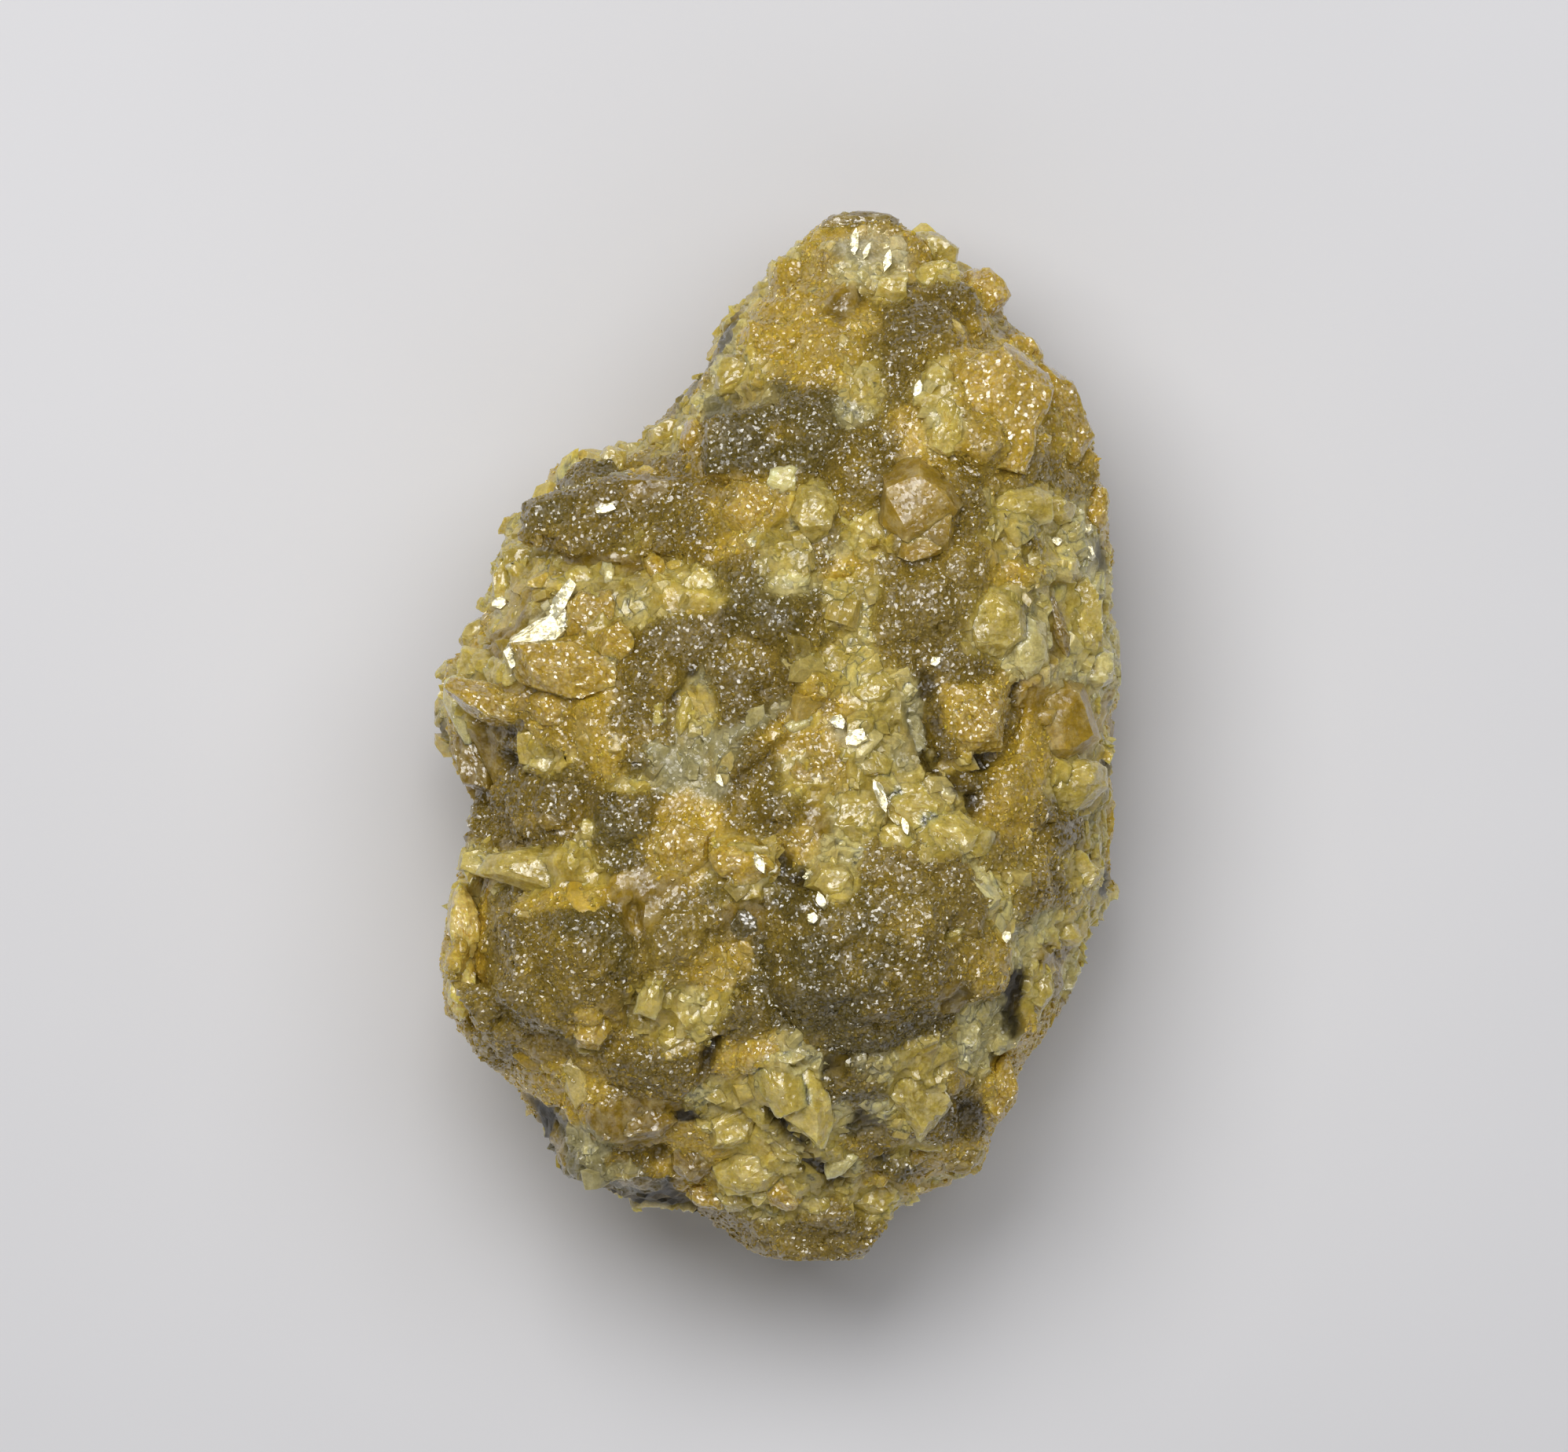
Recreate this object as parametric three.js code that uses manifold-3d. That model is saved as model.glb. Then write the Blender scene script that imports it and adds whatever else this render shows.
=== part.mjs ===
// A rough diamond: one lump of diamond crystals that grew together, as found, neither sawn nor polished.
// Millimetres, +Z up. The stone lies on its one cleavage face, at z = 0. The origin is under its middle.
// X runs across the stone and Y along it.
import * as THREE from "three";
import { mergeVertices } from "three/addons/utils/BufferGeometryUtils.js";
import Module from "manifold-3d";

// ---------------------------------------------------------------- Driving dimensions

const GIRDLE_HEIGHT = 2.2; // where the stone is widest
const GIRDLE_WAVE = 0.45; // how far the widest line rises and falls around the stone
const CROWN_HEIGHT = 4.6; // the middle of the upper side, between its swells
const CROWN_FALL = 0.028; // how much lower the upper side is 1 mm from the middle
const CROWN_SHOULDER = 1.7; // how far in from the outline the upper side levels off
const BASE_DEPTH = 0.42; // how far the rounded underside would reach below the cleavage face
const BASE_RISE = 0.035; // how much higher the underside is 1 mm from the middle
const BASE_SHOULDER = 2.3; // how far in from the outline the underside levels off
const SHOULDER_WAVE = 0.22; // how much wider and narrower the shoulders get around the stone
const SHOULDER_ROUNDNESS = 1.95; // 2 gives a round shoulder, more gives a square one
// The body's rings of corners: the share of the way in to the spine, and how far a corner strays from the
// smooth form.
const RINGS = [
  { share: 0.08, stray: 0.05 },
  { share: 0.26, stray: 0.09 },
  { share: 0.5, stray: 0.09 },
  { share: 0.76, stray: 0.05 },
];
const SPINE = [[-0.1, -2.5], [0.55, 2.5]]; // the ends of the body's middle line, seen from above

// The outline seen from above, clockwise from the tip.
const OUTLINE = [
  [0.13, 4.53], [0.34, 4.76], [0.58, 4.96], [0.88, 4.97], [1.32, 4.78], [1.69, 4.56], [2.05, 4.39],
  [2.15, 4.14], [2.23, 3.89], [2.51, 3.7], [2.55, 3.5], [2.84, 3.24], [3.03, 2.85], [3.01, 2.56],
  [3.16, 2.24], [3.21, 1.57], [3.21, 1.12], [3.3, 0.61], [3.19, 0.17], [3.17, -0.25], [3.22, -0.77],
  [3.17, -1.21], [3.22, -1.47], [3.02, -1.89], [2.82, -2.2], [2.82, -2.44], [2.5, -2.91], [2.3, -3.17],
  [2.26, -3.52], [2.02, -3.74], [1.96, -4.14], [1.58, -4.29], [1.17, -4.4], [1.0, -4.68], [0.84, -4.97],
  [0.3, -5.0], [-0.26, -4.86], [-0.76, -4.5], [-1.34, -4.47], [-2.01, -4.17], [-2.12, -3.86],
  [-2.39, -3.44], [-2.75, -3.06], [-3.07, -2.66], [-3.15, -2.2], [-3.09, -1.6], [-2.92, -1.2],
  [-2.85, -0.65], [-3.05, -0.18], [-3.25, 0.15], [-3.16, 0.59], [-2.9, 0.93], [-2.74, 1.3],
  [-2.72, 1.68], [-2.53, 2.0], [-2.28, 2.28], [-2.02, 2.6], [-1.56, 2.69], [-1.24, 2.8], [-0.97, 3.15],
  [-0.7, 3.48], [-0.5, 3.95], [-0.24, 4.23],
];

// Broad swells and hollows of the upper side: x, y, reach, rise.
const SWELLS = [
  [0.9, -2.0, 1.1, 0.34],
  [-2.0, -2.2, 0.9, 0.3],
  [2.1, 3.1, 0.8, 0.42],
  [-0.6, 2.5, 1.2, 0.12],
  [1.6, 1.5, 1.0, 0.12],
  [-1.7, 1.0, 0.8, 0.1],
  [-0.4, -3.7, 1.0, -0.15],
  [0.4, -4.6, 0.8, -0.4],
  [0.9, 4.6, 0.9, -0.3],
  [-0.7, -0.1, 0.6, -0.14],
  [1.6, -0.3, 0.7, -0.18],
  [-3.0, -2.0, 0.5, -0.3],
];

// Crystal habits: how far the faces of each form stand from the middle, where the cube's faces stand at 1.
// A form that a habit doesn't show is left out.
const HABITS = {
  octahedron: { octahedral: 0.62 },
  cuboid: { cubic: 0.8, octahedral: 1.18 },
  block: { cubic: 0.85 },
  dome: { cubic: 0.94, dodecahedral: 0.98 },
};
const GROWTH = 0.12; // how much nearer or farther a face can stand than its habit says, as a share

// The crystals and lumps that make the upper side:
// habit, x, y, half width, half length, half depth, how far it stands proud, turn and lean in degrees.
const CROWN_CRYSTALS = [
  // the tip
  ["cuboid", 0.8, 4.58, 0.4, 0.3, 0.32, 0.1, 20, 12],
  ["octahedron", 1.45, 4.36, 0.34, 0.3, 0.3, 0.08, 50, -8],
  ["cuboid", 0.35, 4.28, 0.36, 0.3, 0.32, 0.08, -20, 10],
  ["octahedron", 1.08, 4.2, 0.24, 0.24, 0.24, 0.12, 10, 0],
  ["dome", 1.9, 4.1, 0.3, 0.26, 0.3, 0.06, 30, 0],
  ["dome", 1.38, 3.85, 0.44, 0.4, 0.34, 0.12, 15, 0],
  ["cuboid", 0.48, 3.7, 0.36, 0.4, 0.34, 0.1, -12, 8],
  ["octahedron", 0.92, 3.36, 0.3, 0.24, 0.26, 0.1, 35, 6],
  ["block", 1.6, 3.1, 0.26, 0.24, 0.2, 0.12, 22, 12],
  ["cuboid", -0.38, 3.45, 0.24, 0.34, 0.28, 0.08, -30, -10],
  ["octahedron", -0.86, 2.86, 0.28, 0.24, 0.24, 0.1, 20, 8],
  // the honey boss and what lies around it
  ["dome", 2.14, 3.1, 0.46, 0.62, 0.5, 0.14, -12, 6],
  ["dome", 2.02, 3.38, 0.36, 0.32, 0.34, 0.18, 20, 0],
  ["dome", 2.28, 3.02, 0.36, 0.34, 0.36, 0.17, -10, 0],
  ["dome", 1.96, 2.8, 0.32, 0.28, 0.34, 0.18, 32, 6],
  ["dome", 2.68, 2.95, 0.32, 0.34, 0.34, 0.08, 30, 0],
  ["cuboid", 2.36, 3.62, 0.24, 0.22, 0.24, 0.06, 15, 0],
  ["cuboid", 2.42, 2.42, 0.4, 0.26, 0.3, 0.08, -18, -8],
  ["octahedron", 2.9, 1.92, 0.3, 0.34, 0.32, 0.1, 10, 10],
  ["dome", 1.82, 2.34, 0.26, 0.24, 0.26, 0.06, 0, 0],
  // the upper middle
  ["dome", 0.35, 2.92, 0.42, 0.38, 0.32, 0.1, 10, 0],
  ["dome", 0.88, 2.48, 0.4, 0.34, 0.3, 0.12, 40, 0],
  ["cuboid", 1.2, 2.86, 0.24, 0.22, 0.24, 0.06, 12, 6],
  ["octahedron", 0.4, 2.15, 0.3, 0.26, 0.28, 0.13, 28, 4],
  ["octahedron", 0.9, 1.86, 0.3, 0.28, 0.28, 0.12, -25, 0],
  ["cuboid", 2.34, 2.05, 0.26, 0.22, 0.24, 0.1, 30, -8],
  ["cuboid", 0.1, 1.66, 0.3, 0.24, 0.26, 0.09, 10, 8],
  // the left shoulder
  ["block", -2.26, 1.02, 0.15, 0.5, 0.3, 0.2, -48, 0],
  ["block", -1.74, 1.16, 0.24, 0.26, 0.26, 0.16, 18, 8],
  ["cuboid", -1.62, 0.78, 0.22, 0.2, 0.24, 0.1, 30, 0],
  ["block", -1.96, 0.66, 0.26, 0.24, 0.28, 0.14, 8, -10],
  ["cuboid", -2.38, 0.46, 0.34, 0.3, 0.34, 0.14, 24, -12],
  ["octahedron", -2.8, 0.56, 0.34, 0.34, 0.34, 0.1, 12, 0],
  ["cuboid", -2.92, 0.08, 0.24, 0.26, 0.3, 0.08, 30, 0],
  ["octahedron", -0.82, 1.38, 0.3, 0.26, 0.26, 0.1, 10, 8],
  ["cuboid", -1.32, 1.36, 0.2, 0.18, 0.2, 0.08, -20, 0],
  ["dome", -1.16, 0.55, 0.36, 0.34, 0.3, 0.1, 0, 0],
  ["dome", -0.46, 0.62, 0.42, 0.36, 0.32, 0.1, 30, 0],
  ["dome", 0.02, 1.12, 0.44, 0.32, 0.3, 0.12, -10, 0],
  ["octahedron", -2.48, 1.62, 0.3, 0.22, 0.24, 0.1, 30, 0],
  // the right shoulder
  ["cuboid", 0.72, 1.26, 0.3, 0.28, 0.26, 0.07, 22, 6],
  ["dome", 1.34, 1.28, 0.46, 0.42, 0.36, 0.12, 12, 0],
  ["dome", 1.84, 1.58, 0.3, 0.28, 0.28, 0.07, 0, 0],
  ["dome", 2.12, 1.12, 0.36, 0.34, 0.32, 0.13, 30, 0],
  ["octahedron", 2.5, 0.9, 0.3, 0.28, 0.28, 0.1, 15, 6],
  ["cuboid", 2.9, 1.06, 0.3, 0.34, 0.34, 0.08, -10, 0],
  ["block", 2.74, 0.18, 0.36, 0.28, 0.34, 0.07, 14, 12],
  ["dome", 1.86, 0.24, 0.38, 0.34, 0.34, 0.16, 0, 0],
  ["octahedron", 0.92, 0.48, 0.3, 0.26, 0.26, 0.1, 24, 0],
  ["cuboid", 1.3, 0.08, 0.24, 0.22, 0.24, 0.08, -14, 0],
  ["octahedron", 0.6, 0.06, 0.22, 0.2, 0.22, 0.1, 40, 0],
  // the middle
  ["octahedron", 0.9, -0.34, 0.32, 0.3, 0.28, 0.08, 18, 0],
  ["cuboid", 0.74, -0.76, 0.3, 0.28, 0.3, 0.12, -20, 12],
  ["octahedron", 1.4, -0.58, 0.4, 0.36, 0.34, 0.12, 10, 0],
  ["cuboid", 1.58, -0.98, 0.32, 0.28, 0.3, 0.1, 26, -8],
  ["dome", 2.36, -0.5, 0.42, 0.4, 0.36, 0.1, 0, 0],
  ["cuboid", 2.84, -0.42, 0.28, 0.28, 0.3, 0.08, 15, 0],
  ["dome", 2.72, -1.0, 0.32, 0.34, 0.34, 0.08, 0, 0],
  ["octahedron", -0.76, -0.84, 0.28, 0.26, 0.26, 0.12, 12, 0],
  ["cuboid", -1.02, -1.16, 0.28, 0.24, 0.26, 0.1, -30, 8],
  ["octahedron", -1.78, 0.26, 0.28, 0.28, 0.28, 0.09, 25, 0],
  ["cuboid", -2.12, -0.22, 0.26, 0.24, 0.26, 0.08, 10, 0],
  ["dome", -2.24, -0.7, 0.44, 0.36, 0.36, 0.12, 10, 0],
  ["dome", -1.42, -0.74, 0.36, 0.32, 0.32, 0.1, 0, 0],
  ["cuboid", -2.18, -1.24, 0.46, 0.18, 0.24, 0.12, 6, 14],
  ["dome", 0.0, -0.58, 0.34, 0.32, 0.28, 0.08, 0, 0],
  ["octahedron", 0.54, -1.32, 0.24, 0.22, 0.24, 0.12, 20, 0],
  ["cuboid", 1.2, -1.2, 0.28, 0.22, 0.26, 0.07, 12, 0],
  // the lower bosses
  ["dome", 0.88, -2.06, 0.96, 0.78, 0.6, 0.13, 8, 0],
  ["dome", 0.46, -1.8, 0.48, 0.42, 0.4, 0.15, 25, -6],
  ["dome", 1.18, -1.76, 0.5, 0.42, 0.4, 0.17, -15, -4],
  ["dome", 0.98, -2.36, 0.52, 0.4, 0.4, 0.16, 5, 6],
  ["dome", 0.4, -2.42, 0.42, 0.36, 0.36, 0.12, 30, 8],
  ["dome", 1.52, -2.16, 0.36, 0.36, 0.34, 0.12, 12, 0],
  ["dome", -2.1, -2.24, 0.74, 0.7, 0.6, 0.12, 0, 0],
  ["dome", -2.4, -1.98, 0.4, 0.36, 0.36, 0.12, 20, 0],
  ["dome", -1.88, -1.94, 0.42, 0.38, 0.36, 0.16, -20, 0],
  ["dome", -2.2, -2.56, 0.46, 0.36, 0.36, 0.14, 8, 8],
  ["dome", -1.7, -2.48, 0.34, 0.32, 0.34, 0.13, 35, 0],
  ["dome", 1.78, -1.48, 0.42, 0.34, 0.36, 0.08, -30, 0],
  ["dome", 2.46, -1.5, 0.36, 0.34, 0.34, 0.08, 20, 0],
  ["dome", -0.9, -1.9, 0.38, 0.36, 0.34, 0.12, 15, 0],
  ["block", -1.14, -2.42, 0.09, 0.24, 0.2, 0.12, -18, 0],
  ["octahedron", -0.86, -2.72, 0.3, 0.26, 0.28, 0.1, 30, 0],
  ["cuboid", -0.32, -2.7, 0.28, 0.28, 0.28, 0.08, 10, 6],
  ["dome", -1.36, -3.12, 0.38, 0.32, 0.34, 0.1, 0, 0],
  ["cuboid", -2.02, -3.12, 0.4, 0.2, 0.3, 0.1, -32, -14],
  ["cuboid", -1.3, -3.66, 0.36, 0.2, 0.26, 0.08, -10, 0],
  ["dome", -1.76, -3.84, 0.28, 0.26, 0.3, 0.07, 0, 0],
  ["cuboid", -1.42, -4.2, 0.28, 0.22, 0.3, 0.06, -12, 0],
  // the lower end
  ["cuboid", -0.74, -3.9, 0.3, 0.32, 0.32, 0.1, 18, 0],
  ["octahedron", -0.38, -3.5, 0.32, 0.3, 0.3, 0.12, 20, 6],
  ["octahedron", -0.22, -4.22, 0.36, 0.32, 0.34, 0.14, 10, 0],
  ["block", 0.1, -3.34, 0.24, 0.5, 0.3, 0.16, 15, 6],
  ["cuboid", 0.42, -3.88, 0.28, 0.26, 0.28, 0.12, -25, 0],
  ["cuboid", 0.78, -3.3, 0.3, 0.28, 0.28, 0.08, 20, 0],
  ["octahedron", 0.98, -4.16, 0.34, 0.3, 0.34, 0.1, 0, 0],
  ["cuboid", 0.46, -4.62, 0.4, 0.28, 0.34, 0.08, 8, 12],
  ["octahedron", 1.36, -3.2, 0.34, 0.3, 0.3, 0.12, 12, 0],
  ["dome", 1.66, -3.6, 0.34, 0.32, 0.34, 0.08, 0, 0],
  ["dome", 2.02, -2.2, 0.34, 0.34, 0.34, 0.1, 0, 0],
  ["octahedron", 1.9, -2.9, 0.26, 0.28, 0.26, 0.12, 26, 0],
  ["cuboid", 2.58, -2.1, 0.26, 0.3, 0.3, 0.09, 30, 0],
  ["cuboid", 2.12, -3.3, 0.28, 0.24, 0.3, 0.08, 12, 0],
];

// Slabs: flat plates of crystal with a sharp edge. How far each stands proud of the upper side, and its lean
// in degrees about X and Y.
const SLABS = [
  {
    outline: [
      [-2.42, 1.86], [-2.3, 2.2], [-1.5, 2.42], [-0.62, 2.44], [-0.42, 2.1], [-0.8, 1.84], [-1.6, 1.76],
    ],
    proud: 0.16,
    thickness: 0.5,
    lean: [6, 4],
  },
  {
    outline: [[-0.66, 2.5], [-0.62, 2.94], [-0.1, 3.1], [0.3, 2.9], [0.22, 2.5], [-0.2, 2.42]],
    proud: 0.14,
    thickness: 0.4,
    lean: [-4, 5],
  },
  {
    outline: [[1.04, 2.08], [1.24, 2.48], [1.46, 2.46], [1.7, 2.06], [1.62, 1.8], [1.12, 1.74]],
    proud: 0.14,
    thickness: 0.5,
    lean: [3, -5],
  },
  {
    outline: [[-0.62, -0.98], [0.06, -0.98], [0.02, -1.22], [-0.14, -1.52], [-0.36, -1.52]],
    proud: 0.15,
    thickness: 0.5,
    lean: [8, 0],
  },
  {
    outline: [[-3.14, -1.5], [-2.84, -1.36], [-2.84, -2.62], [-3.12, -2.62]],
    proud: 0.12,
    thickness: 0.5,
    lean: [0, 0],
  },
];

// Grooves between the crystals: the line each follows, its width at the top and its depth.
const GROOVES = [
  {
    line: [[1.42, 0.42], [1.36, 0.05], [1.54, -0.26], [1.88, -0.36], [2.22, -0.16], [2.36, 0.3]],
    width: 0.2,
    depth: 0.2,
  },
  { line: [[-0.12, -3.4], [0.12, -3.84], [0.5, -4.24]], width: 0.12, depth: 0.3 },
  { line: [[-2.44, 1.72], [-1.6, 1.62], [-0.8, 1.7]], width: 0.16, depth: 0.18 },
  { line: [[1.62, 2.66], [1.96, 2.42], [2.36, 2.62]], width: 0.16, depth: 0.2 },
  { line: [[-2.86, -1.3], [-2.84, -2.0], [-2.86, -2.8]], width: 0.14, depth: 0.24 },
  { line: [[-1.34, -1.5], [-1.24, -2.2], [-1.44, -2.84]], width: 0.14, depth: 0.2 },
  {
    line: [[-0.12, -1.9], [-0.06, -2.5], [0.38, -2.96], [1.1, -3.0], [1.74, -2.62]],
    width: 0.14,
    depth: 0.2,
  },
  { line: [[-0.96, -3.42], [-0.8, -3.6], [-0.56, -3.84]], width: 0.1, depth: 0.24 },
];
const GROOVE_REACH = 0.5; // how far above the upper side a groove still cuts

// Crystals that a loop places. Each row runs around the stone, at a share of the way in from the outline
// that is negative on the underside. spacing is along the row, radius the smallest and largest, and sunk
// how deep a crystal's middle lies, as a share of its radius.
const CRYSTAL_ROWS = [
  { rows: [0.05, -0.06], spacing: 1.5, radius: [0.55, 0.85], sunk: 0.86 },
  { rows: [-0.24, -0.44], spacing: 1.5, radius: [0.5, 0.8], sunk: 0.84 },
  { rows: [0.13, 0.27, -0.02, -0.14, -0.34], spacing: 1.35, radius: [0.3, 0.5], sunk: 0.72 },
];
const SPACING_SPREAD = 0.25; // how unevenly they are spaced, as a share of the spacing
const ELONGATION = 0.2; // how much wider or narrower than its radius such a crystal can be, as a share

// Small crystals on the upper side, where no named one is near, and how far from the outline they keep.
const CROWN_FILL = { spacing: 0.72, radius: [0.24, 0.42], proud: [0.04, 0.12], edge: 0.5 };
const SEED = 41;
const SHORTEST_EDGE = 0.05; // shorter edges, where crystals cross, are drawn together
const MOST_TURN = 1.25; // radians: how far that may turn a face

// ---------------------------------------------------------------- The smooth form

const { clamp, degToRad, lerp } = THREE.MathUtils;
const NEARLY_NOTHING = 1e-9;
const girdle = OUTLINE.map(([x, y]) => new THREE.Vector2(x, y));
const [spineStart, spineEnd] = SPINE.map(([x, y]) => new THREE.Vector2(x, y));

const random = () => THREE.MathUtils.seededRandom();
const spread = (reach) => reach * (2 * random() - 1);

// The point of the segment from a to b that lies nearest to p.
function nearestOn(a, b, p) {
  const along = b.clone().sub(a);
  const share = clamp(p.clone().sub(a).dot(along) / along.lengthSq(), 0, 1);
  return a.clone().addScaledVector(along, share);
}

function inside(p) {
  return girdle.reduce((odd, a, i) => {
    const b = girdle[(i + 1) % girdle.length];
    const crosses = a.y > p.y !== b.y > p.y && p.x < a.x + ((b.x - a.x) * (p.y - a.y)) / (b.y - a.y);
    return crosses ? !odd : odd;
  }, false);
}

// How far inside the outline the point p lies.
function edgeDistance(p) {
  const gaps = girdle.map((a, i) => nearestOn(a, girdle[(i + 1) % girdle.length], p).distanceTo(p));
  return Math.min(...gaps);
}

function girdleHeight(p) {
  const wave = 0.6 * Math.sin(2 * p.angle() + 0.6) + 0.4 * Math.sin(5 * p.angle());
  return GIRDLE_HEIGHT + GIRDLE_WAVE * wave;
}

// 0 at the outline, rising steeply at first and reaching 1 at the shoulder's full width.
function shoulder(p, width) {
  const local = width * (1 + SHOULDER_WAVE * Math.sin(3 * p.angle() + 1));
  const rest = 1 - Math.min(edgeDistance(p) / local, 1);
  return (1 - rest ** SHOULDER_ROUNDNESS) ** (1 / SHOULDER_ROUNDNESS);
}

function crownHeight(p) {
  let top = CROWN_HEIGHT - CROWN_FALL * p.lengthSq();
  for (const [x, y, reach, rise] of SWELLS) {
    top += rise * Math.exp(-(((p.x - x) ** 2 + (p.y - y) ** 2) / reach ** 2));
  }
  return lerp(girdleHeight(p), top, shoulder(p, CROWN_SHOULDER));
}

function baseHeight(p) {
  const floor = BASE_RISE * p.lengthSq() - BASE_DEPTH;
  return lerp(girdleHeight(p), floor, shoulder(p, BASE_SHOULDER));
}

// The way out of the stone at p, on its upper side or its underside.
function wayOut(p, height, up) {
  const step = 0.05;
  const at = (dx, dy) => height(new THREE.Vector2(p.x + dx, p.y + dy));
  const slopeX = at(step, 0) - at(-step, 0);
  const slopeY = at(0, step) - at(0, -step);
  return new THREE.Vector3(-slopeX, -slopeY, 2 * step).multiplyScalar(up).normalize();
}

// ---------------------------------------------------------------- Solids

const wasm = await Module();
wasm.setup();

function solidOf(geometry) {
  geometry.deleteAttribute("normal");
  geometry.deleteAttribute("uv");
  const merged = mergeVertices(geometry, 1e-5);
  const vertProperties = new Float32Array(merged.attributes.position.array);
  const triVerts = new Uint32Array(merged.index.array);
  return new wasm.Manifold(new wasm.Mesh({ numProp: 3, vertProperties, triVerts }));
}

function geometryOf(points, triangles) {
  const geometry = new THREE.BufferGeometry().setFromPoints(points);
  geometry.setIndex(triangles);
  return geometry;
}

// The point a share of the way in from the outline's point p to the spine.
function inward(p, share) {
  return p.clone().lerp(nearestOn(spineStart, spineEnd, p), share);
}

// The body: rings of corners between the outline and the spine, over and under the girdle.
function body() {
  const count = girdle.length;
  const points = girdle.map((p) => new THREE.Vector3(p.x, p.y, girdleHeight(p)));
  const triangles = [];
  const face = (a, b, c, up) => triangles.push(...(up > 0 ? [a, c, b] : [a, b, c]));
  for (const [height, up] of [[crownHeight, 1], [baseHeight, -1]]) {
    let outer = girdle.map((p, i) => i);
    for (const { share, stray } of RINGS) {
      const inner = girdle.map((p) => {
        const q = inward(p, share).add(new THREE.Vector2(spread(stray), spread(stray)));
        points.push(new THREE.Vector3(q.x, q.y, height(q) + spread(stray)));
        return points.length - 1;
      });
      for (let i = 0; i < count; i++) {
        const j = (i + 1) % count;
        face(outer[i], outer[j], inner[i], up);
        face(outer[j], inner[j], inner[i], up);
      }
      outer = inner;
    }
    const rim = outer.map((i) => new THREE.Vector2(points[i].x, points[i].y));
    for (const [a, b, c] of THREE.ShapeUtils.triangulateShape(rim, [])) {
      face(outer[a], outer[c], outer[b], up);
    }
  }
  return solidOf(geometryOf(points, triangles));
}

// The face directions of a crystal form: along one, two or all three of the crystal's axes.
function directions(form) {
  const axes = { cubic: 1, dodecahedral: 2, octahedral: 3 }[form];
  const steps = [-1, 0, 1];
  return steps
    .flatMap((x) => steps.flatMap((y) => steps.map((z) => new THREE.Vector3(x, y, z))))
    .filter((v) => v.manhattanLength() === axes)
    .map((v) => v.normalize());
}

function middleOf(points) {
  return points.reduce((sum, p) => sum.add(p), points[0].clone().setScalar(0)).divideScalar(points.length);
}

// A crystal bounded by flat faces, as big as a cube with its faces 1 from the middle. Each face stands a
// little nearer or farther than its habit says, as no two faces grow alike.
function crystalGeometry(habit) {
  const faces = Object.entries(HABITS[habit]).flatMap(([form, distance]) =>
    directions(form).map((normal) => new THREE.Plane(normal, -distance * (1 + spread(GROWTH)))),
  );
  const corners = faces.map(() => []);
  const meet = new THREE.Matrix3();
  for (let i = 0; i < faces.length; i++) {
    for (let j = i + 1; j < faces.length; j++) {
      for (let k = j + 1; k < faces.length; k++) {
        const [a, b, c] = [faces[i], faces[j], faces[k]];
        meet.set(...a.normal.toArray(), ...b.normal.toArray(), ...c.normal.toArray());
        if (Math.abs(meet.determinant()) < NEARLY_NOTHING) continue;
        const corner = new THREE.Vector3(-a.constant, -b.constant, -c.constant).applyMatrix3(meet.invert());
        if (faces.some((f) => f.distanceToPoint(corner) > NEARLY_NOTHING)) continue;
        for (const f of [i, j, k]) corners[f].push(corner);
      }
    }
  }
  const triangles = [];
  faces.forEach((f, i) => {
    if (corners[i].length < 3) return;
    const middle = middleOf(corners[i]);
    const right = corners[i][0].clone().sub(middle);
    const ahead = f.normal.clone().cross(right);
    const angle = (p) => Math.atan2(p.clone().sub(middle).dot(ahead), p.clone().sub(middle).dot(right));
    const around = corners[i].sort((p, q) => angle(p) - angle(q));
    for (let k = 1; k < around.length - 1; k++) triangles.push(around[0], around[k], around[k + 1]);
  });
  return new THREE.BufferGeometry().setFromPoints(triangles);
}

function crystal(habit, size, middle, turn) {
  const geometry = crystalGeometry(habit);
  geometry.scale(...size);
  geometry.applyQuaternion(turn);
  geometry.translate(...middle);
  return solidOf(geometry);
}

function crownCrystal([habit, x, y, halfWidth, halfLength, halfDepth, proud, turn, lean]) {
  const p = new THREE.Vector2(x, y);
  const out = wayOut(p, crownHeight, 1);
  const settled = new THREE.Quaternion().setFromUnitVectors(new THREE.Vector3(0, 0, 1), out);
  const turns = new THREE.Euler(degToRad(lean), 0, degToRad(turn), "ZXY");
  const turned = new THREE.Quaternion().setFromEuler(turns);
  const middle = new THREE.Vector3(x, y, crownHeight(p)).addScaledVector(out, proud - halfDepth);
  return crystal(habit, [halfWidth, halfLength, halfDepth], middle.toArray(), settled.multiply(turned));
}

function slab({ outline, proud, thickness, lean }) {
  const corners = outline.map(([x, y]) => new THREE.Vector2(x, y));
  const middle = middleOf(corners);
  const shape = new THREE.Shape(corners.map((p) => p.clone().sub(middle)));
  const geometry = new THREE.ExtrudeGeometry(shape, { depth: thickness, bevelEnabled: false });
  geometry.translate(0, 0, proud - thickness);
  geometry.rotateX(degToRad(lean[0]));
  geometry.rotateY(degToRad(lean[1]));
  geometry.translate(middle.x, middle.y, crownHeight(middle));
  return solidOf(geometry);
}

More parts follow.
